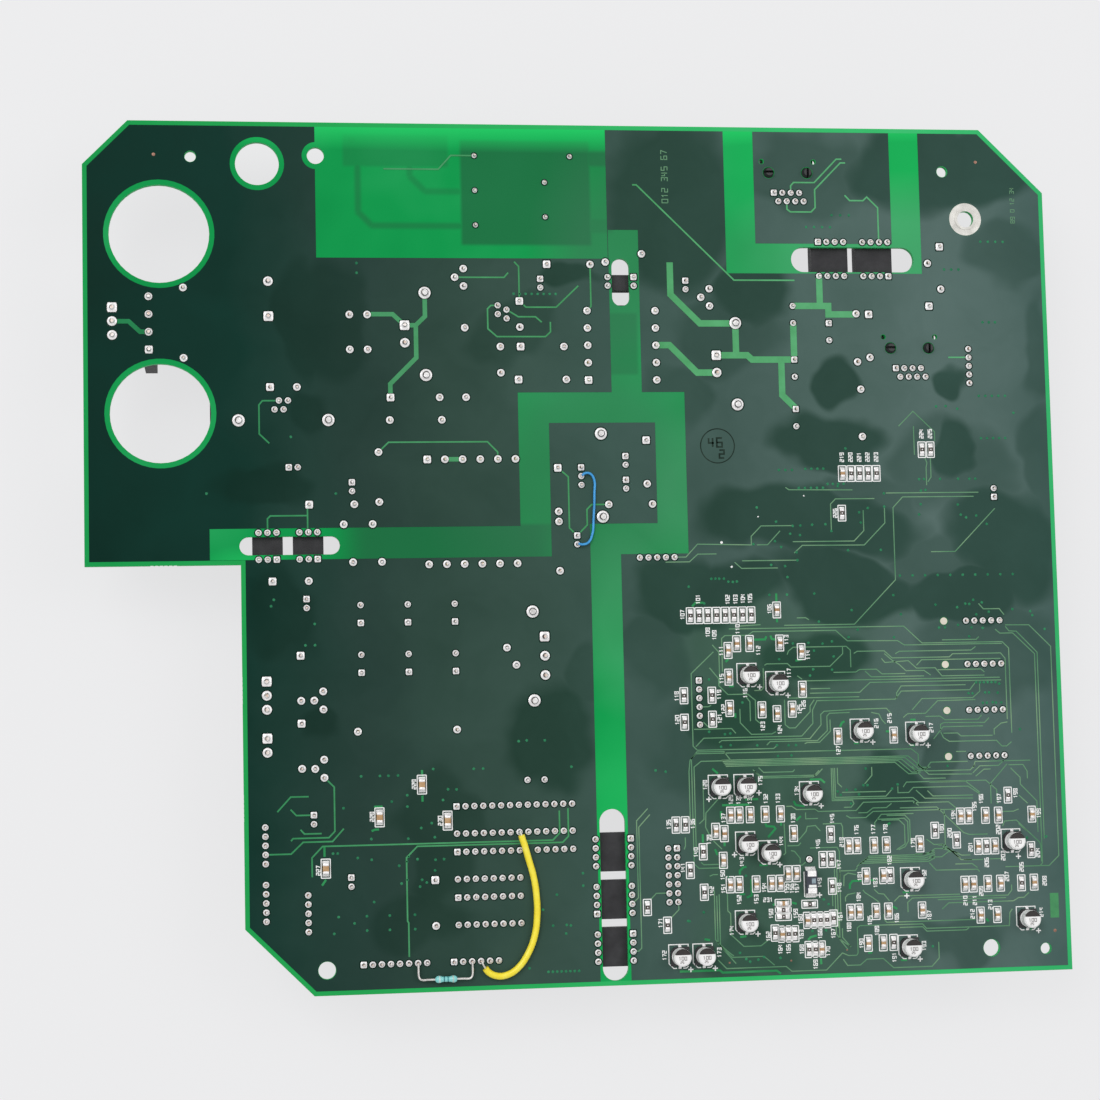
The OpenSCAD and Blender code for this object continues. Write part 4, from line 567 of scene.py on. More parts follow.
    [(265.6, 58.8), (268.4, 56), (268.4, 54), (273.2, 49), (273.2, 40)],
    [(264.6, 60), (259.4, 54.4), (259.4, 48.6)], [(261.8, 46.2), (266, 46.2), (267.6, 46.8)],
    [(267.8, 50.8), (270.4, 48.4)], [(267.4, 42.6), (269.8, 40.4)],
    [(262.6, 42), (263.2, 43.4), (266.8, 43.6), (269, 41.4), (273.6, 37), (273.9, 36), (273.9, 31.4)],
    [(245.2, 47), (245.2, 36.4), (246.6, 35.6), (250, 33.9), (252.6, 33.9)],
    [(239.6, 38.8), (241.8, 37.2), (244.4, 37.2), (244.8, 35.8), (249, 34.6)],
    [(240.2, 32), (242.2, 29.8), (254.6, 29.7), (255.2, 29)], [(248, 31.4), (253, 31.4), (254.6, 30.2)],
    [(250.5, 32.5), (256.4, 32.5)], [(258.4, 32.6), (262, 32.6)], [(242.4, 21.3), (262.8, 21.3)],
    [(243.6, 18.6), (245.6, 20.3), (265, 20.3), (266.6, 21.2), (268.2, 21.2), (269.8, 22.6)],
    # right of the small transformer and towards the right edge
    [(167.7, 121.7), (171, 121.7), (174.5, 125.4), (190.4, 125), (190.4, 127.5), (193.4, 130.5),
     (203, 130.5)],
    [(165, 120.3), (172, 120.3), (174.5, 122.5), (180, 122.5)], [(192, 125), (195.2, 125), (199, 129)],
    [(187.5, 120.4), (204.3, 120.4)], [(185.3, 120), (187.3, 118.2), (198, 118.2)],
    [(201, 141.7), (202, 141), (221, 140.8)], [(202.7, 125.8), (221, 125.8), (224, 128.8), (224, 134.8)],
    [(203, 122.5), (205.5, 124.7), (224, 124.6), (230.4, 131), (230.4, 136)],
    [(214.3, 128.5), (214.3, 136.7), (215.8, 138.2), (227.5, 138.2)], [(231, 139.8), (259, 139.8)],
    [(257.5, 138.6), (236, 138.6), (233, 135.5), (233, 114.3), (220.3, 101.5), (199.4, 101.5)],
    [(263.8, 135), (251.3, 122.4), (244, 122.4)],
    [(235.5, 159.5), (240, 163.9), (246.3, 157.8), (246.3, 155)], [(240, 159.5), (240, 151)],
]
# tight bundles, each a few tracks side by side
for lane in range(5):
    v = 61.2 + 0.44 * lane
    fine_tracks.append([(181 - lane * 0.3, v), (231 + lane, v), (235 + lane, v - 3.4), (237.6 + lane, v - 3.4)])
for lane in range(5):
    v = 32.4 + 0.5 * lane
    u = 218.6 + lane * 0.7
    fine_tracks.append([(u, v - 1), (219.6 + lane * 0.7, v), (240 - lane * 0.5, v), (242, v + 1)])
for lane in range(2):
    v = 57.6 + 0.45 * lane
    fine_tracks.append([(189.4 - lane * 0.5, v + 2), (191.2, v), (206.6 + lane, v), (208.4 + lane, v + 1.8)])

# short wide stubs, from the chips to their vias
stub_tracks = [
    [(93.5, 62.2), (93.5, 60.4)], [(93.5, 55), (93.5, 53.3)], [(79.8, 52.2), (82.2, 52.2)],
    [(79, 45.4), (80, 45.8), (81.1, 45.8)], [(65.7, 41.6), (65.7, 38.6)], [(64.9, 30.6), (66, 32.2)],
    [(197.3, 110.8), (197.3, 108.4)], [(190.4, 97.5), (193.6, 97.5), (194, 98.4)],
    [(195.2, 98.6), (195.6, 97.6), (196.8, 97.4)], [(181.8, 91.2), (182.6, 92)],
    [(202.4, 91.2), (204.4, 91.5)], [(184.2, 76.4), (184.2, 75)], [(197.3, 103.5), (197.3, 102.4)],
    [(172.4, 107.4), (173.4, 108.4), (175.8, 108.4)], [(177, 60.6), (178.6, 59.2)],
    [(182.6, 84.2), (184, 84.2)], [(166, 3.3), (177.6, 3.3), (178.4, 2.6), (194.2, 2.6), (195.4, 1.7)],
    [(173.7, 42), (173.7, 39.6)], [(177.2, 37.6), (177.8, 36)], [(180, 39.6), (180, 38.4)],
    [(179.2, 48.4), (179.2, 46.4)], [(179.6, 50.1), (187.6, 50.1)], [(186.4, 51.6), (190.2, 51.6)],
    [(192.1, 44.6), (192.4, 43.8), (194.6, 43.6), (195, 43), (192.8, 40.6)],
    [(184.2, 30.2), (184.2, 31.2), (185.2, 32.2), (186.2, 32.4)], [(187.5, 28.8), (187.5, 24.2), (186, 23.6)],
    [(184, 24.6), (185.6, 24.6)], [(193.6, 21.2), (194.4, 21.7)], [(199.2, 21.8), (200.6, 21.4)],
    [(203.6, 11), (204.4, 11.8), (206.2, 12.2)], [(207.2, 5.6), (207.3, 4)],
    [(200.6, 50.8), (201.2, 49.6), (203.8, 49.2)], [(205.6, 56.8), (208.8, 56.8), (210, 55.8)],
    [(201.2, 45.2), (202.6, 46.4)], [(196.7, 44.8), (196.7, 43.8)], [(173.4, 12.2), (175, 11.9)],
    [(183.8, 12.5), (185.6, 12.7)], [(190, 32.7), (192.4, 32.7)],
    [(216.4, 25.2), (216.4, 26.4), (217.2, 27.4), (220, 27.5)], [(222.6, 27.5), (224, 27.5)],
    [(228, 43.2), (229, 43.8)], [(232, 23.7), (234, 23.8)], [(229, 19.8), (230.2, 19)],
    [(230.8, 4.4), (232.6, 4.4)], [(221.2, 6.8), (222.4, 6.8)], [(256.6, 15.4), (257.4, 14.6)],
    [(215, 71.8), (215.6, 73), (216.4, 73.4)], [(219, 67), (220.4, 67)], [(235.4, 66.2), (237, 65.9)],
    [(228.6, 70.2), (229.8, 70.2)], [(236, 73.4), (237.6, 73.4)],
]
TRACK_GLOSS = (0.3, 0.45)
# tones of the wide tracks from left to right, paler rightwards as painted sheen
wide_sheen_tones = [(20, (38, 130, 79)), (90, (76, 154, 103)), (150, (72, 152, 96)), (175, (88, 170, 112)),
              (282, (98, 176, 124))]
WIDE_PATCH = 4
wide_shade = [(0.3, (0.86, 0.88, 0.86, 1.0)), (0.7, (1.1, 1.06, 1.1, 1.0))]


def mottled(name, tones, patch, gloss, grain=0.0, grain_size=0.3, **sockets):
    """A finish that drifts between its tones over patches, with a fine grain in its surface."""
    finish, tree, shader, place = new_finish(name, **sockets)
    stops = [(0.3 + 0.4 * i / (len(tones) - 1), tone) for i, tone in enumerate(tones)]
    tone = ramp(tree, noise(tree, place, patch), stops)
    fine = noise(tree, place, grain_size)
    relief = (fine, grain, grain_size) if grain else None
    lay_on(tree, shader, tone, remap(tree, fine, 0.3, 0.7, *gloss), relief)
    return finish


def wide_tracks_finish():
    finish, tree, shader, place = new_finish("wide_tracks_mask", Specular_IOR_Level=MASK_SHEEN)
    # painted sheen: the wide tracks grow paler towards the right
    tone = tones_across(tree, eastward(tree, place), wide_sheen_tones)
    fine = noise(tree, place, WIDE_PATCH)
    tone = blend(tree, 1.0, tone, ramp(tree, fine, wide_shade), "MULTIPLY")
    lay_on(tree, shader, tone, remap(tree, fine, 0, 1, *TRACK_GLOSS))
    return finish


dress(wide_tracks_finish(), "copper_tracks")
fine_copper = mottled("fine_tracks_mask", [(84, 136, 100), (106, 152, 116), (132, 166, 130)],
                      patch=14, gloss=TRACK_GLOSS, Specular_IOR_Level=MASK_SHEEN)
stub_copper = mottled("stub_tracks_mask", [(40, 128, 76), (52, 146, 88), (74, 162, 102)],
                      patch=15, gloss=TRACK_GLOSS, Specular_IOR_Level=MASK_SHEEN)

# strokes of plain numbers, in heights of a digit, for what is etched, printed or stamped
DIGITS = {
    "0": [[(0, 0), (0, 1), (0.6, 1), (0.6, 0), (0, 0)]],
    "1": [[(0.1, 0.75), (0.32, 1), (0.32, 0)]],
    "2": [[(0, 1), (0.6, 1), (0.6, 0.5), (0, 0.5), (0, 0), (0.6, 0)]],
    "3": [[(0, 1), (0.6, 1), (0.6, 0), (0, 0)], [(0.15, 0.5), (0.6, 0.5)]],
    "4": [[(0, 1), (0, 0.45), (0.6, 0.45)], [(0.45, 1), (0.45, 0)]],
    "5": [[(0.6, 1), (0, 1), (0, 0.5), (0.6, 0.5), (0.6, 0), (0, 0)]],
    "6": [[(0.6, 1), (0, 1), (0, 0), (0.6, 0), (0.6, 0.5), (0, 0.5)]],
    "7": [[(0, 1), (0.6, 1), (0.25, 0)]],
    "8": [[(0, 0), (0, 1), (0.6, 1), (0.6, 0), (0, 0)], [(0, 0.5), (0.6, 0.5)]],
    "9": [[(0.6, 0.5), (0, 0.5), (0, 1), (0.6, 1), (0.6, 0), (0, 0)]],
}
DIGIT_PITCH, DIGIT_HALF = 0.92, 0.3


def number(digits, u, v, size, line_w, low, high, upright=True):
    """A row of digits read up the board, or across it, with its middle at (u, v)."""
    shapes = []
    for i, digit in enumerate(digits):
        shift = (DIGIT_PITCH * (i - (len(digits) - 1) / 2) - DIGIT_HALF) * size
        for stroke in DIGITS.get(digit, ()):
            line = [(shift + x * size, (y - 0.5) * size) for x, y in stroke]
            line = [(u - y, v + x) if upright else (u + x, v + y) for x, y in line]
            shapes.append(strip(line, line_w, low, high))
    return shapes


def joined(shapes):
    corners, sides = [], []
    for shape_corners, shape_sides in shapes:
        start = len(corners)
        corners.extend(shape_corners)
        sides.extend(tuple(start + i for i in side) for side in shape_sides)
    return corners, sides


etched = number("012 345 67", 167.6, 233.4, size=1.75, line_w=0.24, low=FINE_LOW, high=FINE_HIGH)
etched += number("89 0 12 34", 272.6, 225.6, size=1.2, line_w=0.18, low=FINE_LOW, high=FINE_HIGH)
fine_shape = joined([strip(line, FINE_W, FINE_LOW, FINE_HIGH) for line in fine_tracks] + etched)
stub_shape = joined([strip(line, STUB_W, FINE_LOW, STUB_HIGH) for line in stub_tracks])
piece("fine_tracks", fine_shape, fine_copper)
piece("stub_tracks", stub_shape, stub_copper)

# Vias and targets: plated holes closed by mask, and a few bare copper dots, three for the placing machine.
# The vias stand up as small green pimples, and one field of lighter mask stays blank.
VIA_R = 0.42
DOT_LOW, TARGET_HIGH = PLANE_TOP - 0.01, PLANE_TOP + 0.03
OPEN_HIGH, VIA_HIGH = PLANE_TOP + 0.05, PLANE_TOP + 0.06
vias = [
    (178.3, 115.3), (179.5, 115.3), (180.6, 115.3), (182, 115.3), (183.3, 114.4), (184.6, 114.3),
    (185.8, 114.4), (171.6, 113.1), (200.8, 115.5), (195.3, 110.4), (200.5, 110.4), (208.6, 110.6),
    (176, 108.2), (201.8, 96.2), (210.6, 96), (206.4, 96.3), (197.6, 91.7), (207.6, 88.6), (213.2, 88.4),
    (206.6, 86.8), (176.8, 86.2), (186.4, 79.4), (182.6, 67.2), (179.8, 66.8), (190.4, 67), (196.2, 66.9),
    (199.6, 66.8), (201.8, 66.8), (176.4, 71.2), (181, 70.4), (182.6, 70.6), (200.4, 63.9), (196.4, 63.8),
    (213.4, 96.6), (213.8, 92.2), (208, 94), (232.2, 109.8), (219.6, 105.6), (234.3, 104.2), (209.7, 102.4),
    (221.2, 99.9), (218.4, 97.8), (244.8, 106.8), (251.3, 106), (253.8, 107), (255, 106.9), (256.2, 108.1),
    (258.8, 107.3), (268, 105.2), (273.4, 104.5), (274, 103.3), (277.6, 99.2), (260.8, 104.5), (257, 103.8),
    (245.6, 100.1), (247.4, 100.1), (251.4, 100.8), (255.4, 100), (258.8, 99.8), (232, 97.5), (254.6, 97.4),
    (263.2, 83.4), (253.8, 80.8), (255, 80.7), (258.8, 80.9), (260, 80.9), (262.6, 80.8), (258, 77.9),
    (259.2, 77.9), (261, 78), (262, 77.9), (263.6, 77.9), (268.9, 70), (246.7, 59.8), (222.2, 59.6),
    (213.7, 53.2), (214.6, 52.2), (216.4, 53.6), (217.6, 49.6), (219, 53.6), (220, 52.2), (221.4, 54.8),
    (222.6, 54.8), (231.6, 54.8), (229.9, 53.6), (186, 29.8), (180.8, 29.6), (195.4, 6.2), (160.5, 60.5),
    (168.8, 17.5), (163.4, 60.1), (269.8, 38.4), (275.6, 38.6), (270, 12), (240.4, 8), (77.3, 21.7),
    (83.7, 21.7), (90.8, 21.7), (77.3, 17.7), (83.7, 17.7), (90.8, 17.7)]
# rows of vias: the first one's place, the step to the next, and how many
for first_u, row_v, step, count in (
        (199.2, 146.8, 1.95, 3), (207.1, 147.1, 1.8, 4), (205, 141.5, 1.8, 5), (260.2, 168.4, 2.0, 5),
        (260.4, 155.8, 1.85, 5), (213.6, 142.6, 1.6, 4), (262.4, 214.6, 2.3, 4), (251, 206.2, 2.2, 3),
        (262.2, 190.4, 1.9, 3), (209.6, 218.7, 2.4, 4), (217.4, 222.3, 2.6, 3), (128.3, 4.5, 1.25, 8)):
    vias += [(first_u + step * i, row_v) for i in range(count)]
vias += [
    (77.3, 207.4), (77.3, 204.6), (57.9, 157.3), (34, 141.3), (70.4, 141), (52.5, 111), (51.7, 109.2),
    (63.9, 104), (61.2, 98), (63.9, 98), (121.2, 69.7), (123.5, 69.9), (128.7, 69.8), (96.7, 62.4),
    (108.2, 62.2), (110.9, 62.2), (136.2, 62.1), (76.3, 60.8), (81.6, 60.8), (84, 60.8), (86.7, 60.8),
    (100.8, 56.6), (103.2, 56.5), (89.2, 55.2), (84.8, 53.5), (99.3, 53.6), (71.2, 52), (89.2, 52),
    (96, 47.2), (93, 45.9), (78.9, 43.2), (89.3, 43), (96.8, 43.2), (75, 38), (78.9, 37.4), (89.3, 38),
    (91.8, 37.2), (96.9, 36.9), (99.3, 37), (88.8, 36.6), (68.1, 39.4), (69.4, 39.4), (86.6, 35.5),
    (96.7, 33.9), (88.8, 31.5), (87.2, 30.5), (93, 31.4), (94.3, 30.6), (92.4, 29.5), (79.4, 25.6),
    (73.8, 19.8), (69.4, 21.7), (68.1, 17.1), (138.8, 31.9), (138.8, 28.4), (131.2, 26.1), (127.1, 22),
    (129.9, 17.4), (133.8, 17.5), (135, 17.3), (133.6, 15.1), (122.9, 5.7), (247.1, 165.3), (250, 165.4),
    (253.5, 164.6), (270.6, 163.3), (219.3, 153), (216.6, 141.9), (241.2, 143.8), (242.7, 143.8),
    (247.5, 143.8), (253, 143.8), (256.4, 143.8), (258.2, 143.8), (241.6, 140.4), (243, 140.6),
    (230.4, 139.7), (241.4, 136.4), (252.6, 136.2), (230.4, 135.8), (225.4, 135.4), (222.8, 134.2),
    (240.8, 133.4), (253.4, 133.2), (255, 132.4), (258.1, 132.9), (223.2, 131.2), (212.6, 130.8),
    (208.6, 130.7), (205.1, 130.5), (202.8, 130.4), (261.2, 130.4), (197.9, 131.7), (192.3, 135.9),
    (214.3, 128.8), (202, 128.1), (204.9, 127.7), (197.4, 126), (191, 125.2), (199.2, 124.3), (219.1, 123.1),
    (228.9, 123.1), (203.7, 122.7), (196.1, 119.1), (200.2, 118.7), (203.9, 120.4), (205, 13.5), (209, 13.6),
    (210, 21), (208.6, 22.4), (183.6, 8), (185.4, 6.2), (188.9, 5.9), (186.5, 5.4), (190.6, 6.6),
    (222.4, 16.6), (169.2, 17.4), (173.4, 19.8)]
vias += [(122.5 + 1.75 * i, 198.6) for i in range(8)]
vias += [(234.4 + 3.79 * i, 115.5) for i in range(10)] + [(256.2 + 1.17 * i, 83.9) for i in range(6)]
# bare dots: middle and radius
targets = [(20.1, 238.6, 0.5), (261.8, 238.6, 0.5), (277.2, 11.4, 0.5), (180.5, 5.3, 0.3), (198.5, 5.3, 0.3),
           (215, 7.8, 0.26)]
# open vias, their tops painted white for the light that shows through their pinholes: middle and radius
open_vias = [(181.6, 125.8, 0.42), (184.4, 118.7, 0.34), (192.6, 133.2, 0.24), (206.4, 139.2, 0.24)]
blank_outline = [(276, 15.1), (278.6, 15.1), (278.6, 22.2), (276, 22.2)]


def circle(u, v, radius, count):
    turns = [2 * pi * k / count for k in range(count)]
    return [(u + radius * cos(turn), v + radius * sin(turn)) for turn in turns]


def pimple(u, v, radius, low, high, sides=12):
    rings = [(radius, low), (radius * 0.92, low + 0.6 * (high - low)), (radius * 0.55, high)]
    corners = [spot(*point, level) for reach, level in rings for point in circle(u, v, reach, sides)]
    top = tuple((len(rings) - 1) * sides + k for k in range(sides))
    return corners, skin(len(rings), sides) + [top, tuple(range(sides - 1, -1, -1))]


def plate(outline, low, high):
    """A flat plate with the given outline of (u, v) corners between two levels."""
    count = len(outline)
    corners = [spot(u, v, level) for level in (low, high) for u, v in outline]
    return corners, [tuple(range(count - 1, -1, -1)), tuple(range(count, 2 * count))] + skin(2, count)


via_finish = mottled("via_mask", [(40, 112, 78), (60, 140, 98)],
                     patch=6, gloss=(0.3, 0.4), Specular_IOR_Level=MASK_SHEEN)
via_shape = joined([pimple(u, v, VIA_R, DOT_LOW, VIA_HIGH) for u, v in vias])
piece("vias", via_shape, via_finish, smooth=True)
# painted light: white dots for the light through the open vias
pinhole_light = mottled("open_via_pinhole_light", [(226, 228, 226), (250, 250, 250)],
                  patch=0.5, gloss=(0.3, 0.45), Metallic=0.1)
open_shape = joined([pimple(u, v, r, DOT_LOW, OPEN_HIGH) for u, v, r in open_vias])
piece("open_vias", open_shape, pinhole_light, smooth=True)
target_finish = mottled("bare_copper", [(128, 92, 78), (158, 118, 100)],
                        patch=0.6, gloss=(0.3, 0.45), Metallic=0.6)
target_shape = joined([pimple(u, v, r, DOT_LOW, TARGET_HIGH, sides=20) for u, v, r in targets])
piece("target_dots", target_shape, target_finish)
blank_field = plate(blank_outline, FINE_LOW, FINE_HIGH)
blank_finish = mottled("blank_field_mask", [(44, 126, 74), (58, 144, 84)], patch=3, gloss=TRACK_GLOSS)
piece("blank_field", blank_field, blank_finish)

# Tinned land: the earthed screw hole's ring of bare copper, covered with solder by the wave.
# Its inner rim stands a little higher, where the solder gathers round the hole.
land_finish = mottled("tinned_land_metal", [(190, 188, 182), (216, 214, 208)],
                      patch=2.5, gloss=(0.4, 0.55), grain=0.1, grain_size=0.8, Metallic=0.5)
dress(land_finish, "tinned_land")

# White print: frames round the chips, corner lines and plus signs for the cans, and plain numbers.
# It is epoxy ink, screened on over the mask in lines a quarter of a millimetre wide.
INK_LOW, INK_HIGH = PLANE_TOP + 0.01, PLANE_TOP + 0.055
INK_W = 0.27
FRAME_L, FRAME_W = 4.6, 2.25
LARGE_CHIP, LARGE_FRAME_L, LARGE_FRAME_W = 2.3, 5.3, 2.55
PLUS_REACH, PLUS_W, PLUS_STEP = 0.75, 0.36, 0.002
DIGIT_H, DIGIT_W = 1.05, 0.25
FIRST_NUMBER = 101
can_corner = [(2.5, 2.7), (2.5, 3.35), (-3.15, 3.35), (-3.15, -2.0), (-1.8, -3.35), (-0.9, -3.35)]
can_foot = [(0.9, -3.35), (1.9, -3.35), (2.5, -2.75)]
plus_signs = [
    (191.6, 83.8), (199.9, 81.2), (224.6, 67.2), (241.1, 65.9), (175.8, 51.9), (190.5, 53.4), (208.7, 49.2),
    (182.8, 35.9), (196, 32.7), (189, 13.2), (169.2, 3.8), (176.3, 3.9), (233.2, 22.7), (236.5, 4.5),
    (267, 33.1), (272.2, 11.5), (207.4, 23.7)]
numbers_at = [
    (174.2, 109.4), (182.9, 109.2), (185.2, 109.2), (187.4, 109.4), (189.5, 109.4), (195.2, 106.3),
    (169.5, 105), (176.8, 99.8), (178.7, 99), (185.6, 100.6), (180.6, 94.4), (191.5, 94.3), (199.9, 97.3),
    (206.2, 92.8), (180.5, 86.4), (187.3, 82.1), (200.4, 87.6), (167.2, 81.6), (179.6, 81.8), (167.2, 74.8),
    (179.6, 74.9), (180.8, 77.6), (192.2, 72.4), (197.2, 71.4), (203.2, 77.1), (204.4, 78.3), (214.3, 65),
    (174.8, 56), (182.2, 51.6), (184.4, 51.6), (187.7, 51.6), (192.4, 51.6), (196, 51.6), (201.6, 53.7),
    (163.9, 45), (170.9, 45), (179.9, 46.4), (200.3, 45.8), (175.5, 40.4), (171.6, 36.9), (167.7, 32.6),
    (175.9, 25.7), (184.9, 33.8), (196.6, 39.4), (211.8, 45.4), (207.4, 38.2), (213.4, 32.2), (213.3, 25.6),
    (207.5, 27.2), (179.2, 30.2), (179.3, 26.4), (183.8, 23), (188.8, 23), (191.2, 26.3), (197.8, 25.8),
    (199.3, 25.8), (200.8, 25.8), (193, 18.8), (200.2, 18.6), (201.6, 17), (213.3, 17.4), (192, 12.4),
    (201.7, 12.6), (195.4, 8.6), (197.8, 8.6), (207.2, 12.6), (211.1, 12.6), (201.7, 8.4), (205.6, 4),
    (209.4, 7.6), (160.8, 17.2), (161.7, 8), (177.6, 8.3), (181.4, 14.4), (191, 56.8), (218.9, 42),
    (223.9, 42), (227.5, 42), (235.6, 37.8), (244.3, 41.6), (219.4, 28.8), (228.4, 33), (224, 26.7),
    (218.9, 22.8), (222, 16), (230, 16.4), (239.7, 16.9), (215.8, 14.2), (224, 13), (219.3, 9.5),
    (228.9, 5.2), (238.6, 28.6), (237.8, 8.2), (247.9, 45.6), (254.3, 47.8), (256.4, 50), (261.8, 50),
    (266.8, 51.4), (273.6, 45.4), (246.6, 40.4), (252.7, 36.2), (261.2, 41), (262.4, 33.4), (272.9, 34),
    (267.8, 30), (257.4, 31.6), (263.3, 27.4), (274.6, 25.8), (255.4, 23.4), (250.6, 20.8), (253.4, 20.8),
    (252.6, 16.9), (258, 19.4), (273.2, 16.8), (229.8, 74), (225.8, 72.6), (242.2, 71), (214.4, 38.6),
    (218.1, 150.4), (220.7, 150.4), (223.3, 150.4), (225.8, 150.4), (228.4, 150.4), (242.3, 157.2),
    (244.9, 157.2), (215.6, 134), (63.9, 34.8), (79.2, 49.4), (91.2, 58.2), (98.4, 47.8)]


def solids(name):
    """The separate solids of one node: an array of corner points in millimetres for each."""
    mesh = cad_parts[name].data
    points = np.empty(3 * len(mesh.vertices))
    mesh.vertices.foreach_get("co", points)
    points = points.reshape(-1, 3) / MM
    ends = np.empty(2 * len(mesh.edges), int)
    mesh.edges.foreach_get("vertices", ends)
    same_place = np.unique(np.round(points * 1000).astype(int), axis=0, return_inverse=True)[1].ravel()
    ends = same_place[ends].reshape(-1, 2)
    group = np.arange(same_place.max() + 1)
    while True:
        lowest = group[ends].min(1)
        merged = group.copy()
        np.minimum.at(merged, ends[:, 0], lowest)
        np.minimum.at(merged, ends[:, 1], lowest)
        merged = merged[merged]
        if (merged == group).all():
            break
        group = merged
    owner = group[same_place]
    order = np.argsort(owner, kind="stable")
    starts = np.flatnonzero(np.diff(owner[order])) + 1
    return np.split(points[order], starts)


def box_of(points):
    """Middle (u, v) and size (du, dv, top level) of one solid on the layout."""
    low, high = points.min(0), points.max(0)
    middle = (low + high) / 2
    return middle[0] - LAYOUT_U, middle[1] - LAYOUT_V, high[0] - low[0], high[1] - low[1], high[2]


def rounded(u, v, width, height, corner=0.12):
    quarter = [(corner * cos(a), corner * sin(a)) for a in (0, pi / 4, pi / 2)]
    outline = []
    for turn, (sx, sy) in enumerate(((1, 1), (-1, 1), (-1, -1), (1, -1))):
        steps = quarter if turn % 2 == 0 else quarter[::-1]
        outline += [(u + sx * (width / 2 - corner + x), v + sy * (height / 2 - corner + y)) for x, y in steps]
    return outline


chip_caps = [box_of(points) for points in solids("chip_capacitors")]
chip_resistors = [box_of(points) for points in solids("chip_resistors")]
cans = [box_of(points) for points in solids("can_capacitors")]
ink_shapes = []
for u, v, du, dv, top in chip_caps + chip_resistors:
    large = max(du, dv) > LARGE_CHIP
    long_side, short_side = (LARGE_FRAME_L, LARGE_FRAME_W) if large else (FRAME_L, FRAME_W)
    width, height = (short_side, long_side) if dv > du else (long_side, short_side)
    ink_shapes.append(strip(rounded(u, v, width, height), INK_W, INK_LOW, INK_HIGH, closed=True))
for u, v, du, dv, top in cans:
    for line in (can_corner, can_foot):
        ink_shapes.append(strip([(u + x, v + y) for x, y in line], INK_W, INK_LOW, INK_HIGH))
for u, v in plus_signs:
    for along_u, along_v in ((PLUS_REACH, 0), (0, PLUS_REACH)):
        ends = [(u - along_u, v - along_v), (u + along_u, v + along_v)]
        ink_shapes.append(strip(ends, PLUS_W, INK_LOW, INK_HIGH + PLUS_STEP * (along_u > 0)))
for i, (u, v) in enumerate(numbers_at):
    ink_shapes += number(str(FIRST_NUMBER + i), u, v, DIGIT_H, DIGIT_W, INK_LOW, INK_HIGH)
ink_shapes += number("231", 192.2, 22.8, DIGIT_H, DIGIT_W, INK_LOW, INK_HIGH, upright=False)
white_ink = mottled("white_ink", [(236, 238, 236), (246, 247, 246), (253, 253, 252)],
                    patch=1.5, gloss=(0.5, 0.7))
white_print = piece("white_print", joined(ink_shapes), white_ink)

# Inspection stamp: a faint ring of dark ink, pressed on by hand in the open part of the board.
# Its middle holds two plain numbers, as worn as the ring.
STAMP_U, STAMP_V, STAMP_R = 181.2, 154, 5
STAMP_LOW, STAMP_HIGH = PLANE_TOP - 0.01, PLANE_TOP + 0.015
RING_W, STAMP_DIGIT_W = 0.32, 0.5
stamp_ink = mottled("stamp_ink", [(24, 38, 32), (46, 62, 54)],
                    patch=2, gloss=(0.5, 0.7), Specular_IOR_Level=MASK_SHEEN)
stamp_shapes = [strip(circle(STAMP_U, STAMP_V, STAMP_R, 48), RING_W, STAMP_LOW, STAMP_HIGH, closed=True)]
for digits, u, v, size in (("46", 180.6, 155, 2.6), ("2", 182.4, 151.6, 2.3)):
    stamp_shapes += number(digits, u, v, size, STAMP_DIGIT_W, STAMP_LOW, STAMP_HIGH, upright=False)
piece("stamp_ring", joined(stamp_shapes), stamp_ink)

# Electrolytic capacitors: aluminium cans in shrunk plastic sleeves, standing on the far side.
# The film capacitors beside them are moulded boxes, and the discs are dipped in lacquer.
sleeve = mottled("dark_sleeve", [(26, 30, 44), (34, 40, 60)],
                 patch=12, gloss=(0.28, 0.42), grain=0.1, grain_size=0.4)
sleeved = ("main_capacitor", "filter_capacitors", "output_capacitors", "small_capacitors")
dress(sleeve, *sleeved)
SKIN, STRIPE_LIFT, MINUS_LIFT = 0.06, 0.03, 0.02
STRIPE_TURN, STRIPE_STEPS = 0.32, 6
# the print ends above the foot and below the neck, which is longer on large cans
FOOT_GAP, LARGE_CAN_R, LARGE_NECK, SMALL_NECK = 1, 3, 4.2, 0.6
MINUS_FOOT, MINUS_NECK, MINUS_STEP, MINUS_H = 3, 2, 4.5, 1.6
MAIN_FACING, FACING, FACING_STEP = 0.8, 2.1, 1.3


def around(u, v, reach, turns, low, high):
    """A thin skin bent round an upright can, between two levels."""
    corners = [spot(u + r * cos(turn), v + r * sin(turn), z) for turn in turns
               for r, z in ((reach, low), (reach, high), (reach - SKIN, high), (reach - SKIN, low))]
    last = 4 * (len(turns) - 1)
    return corners, skin(len(turns), 4, inward=True) + [(0, 1, 2, 3), (last + 3, last + 2, last + 1, last)]


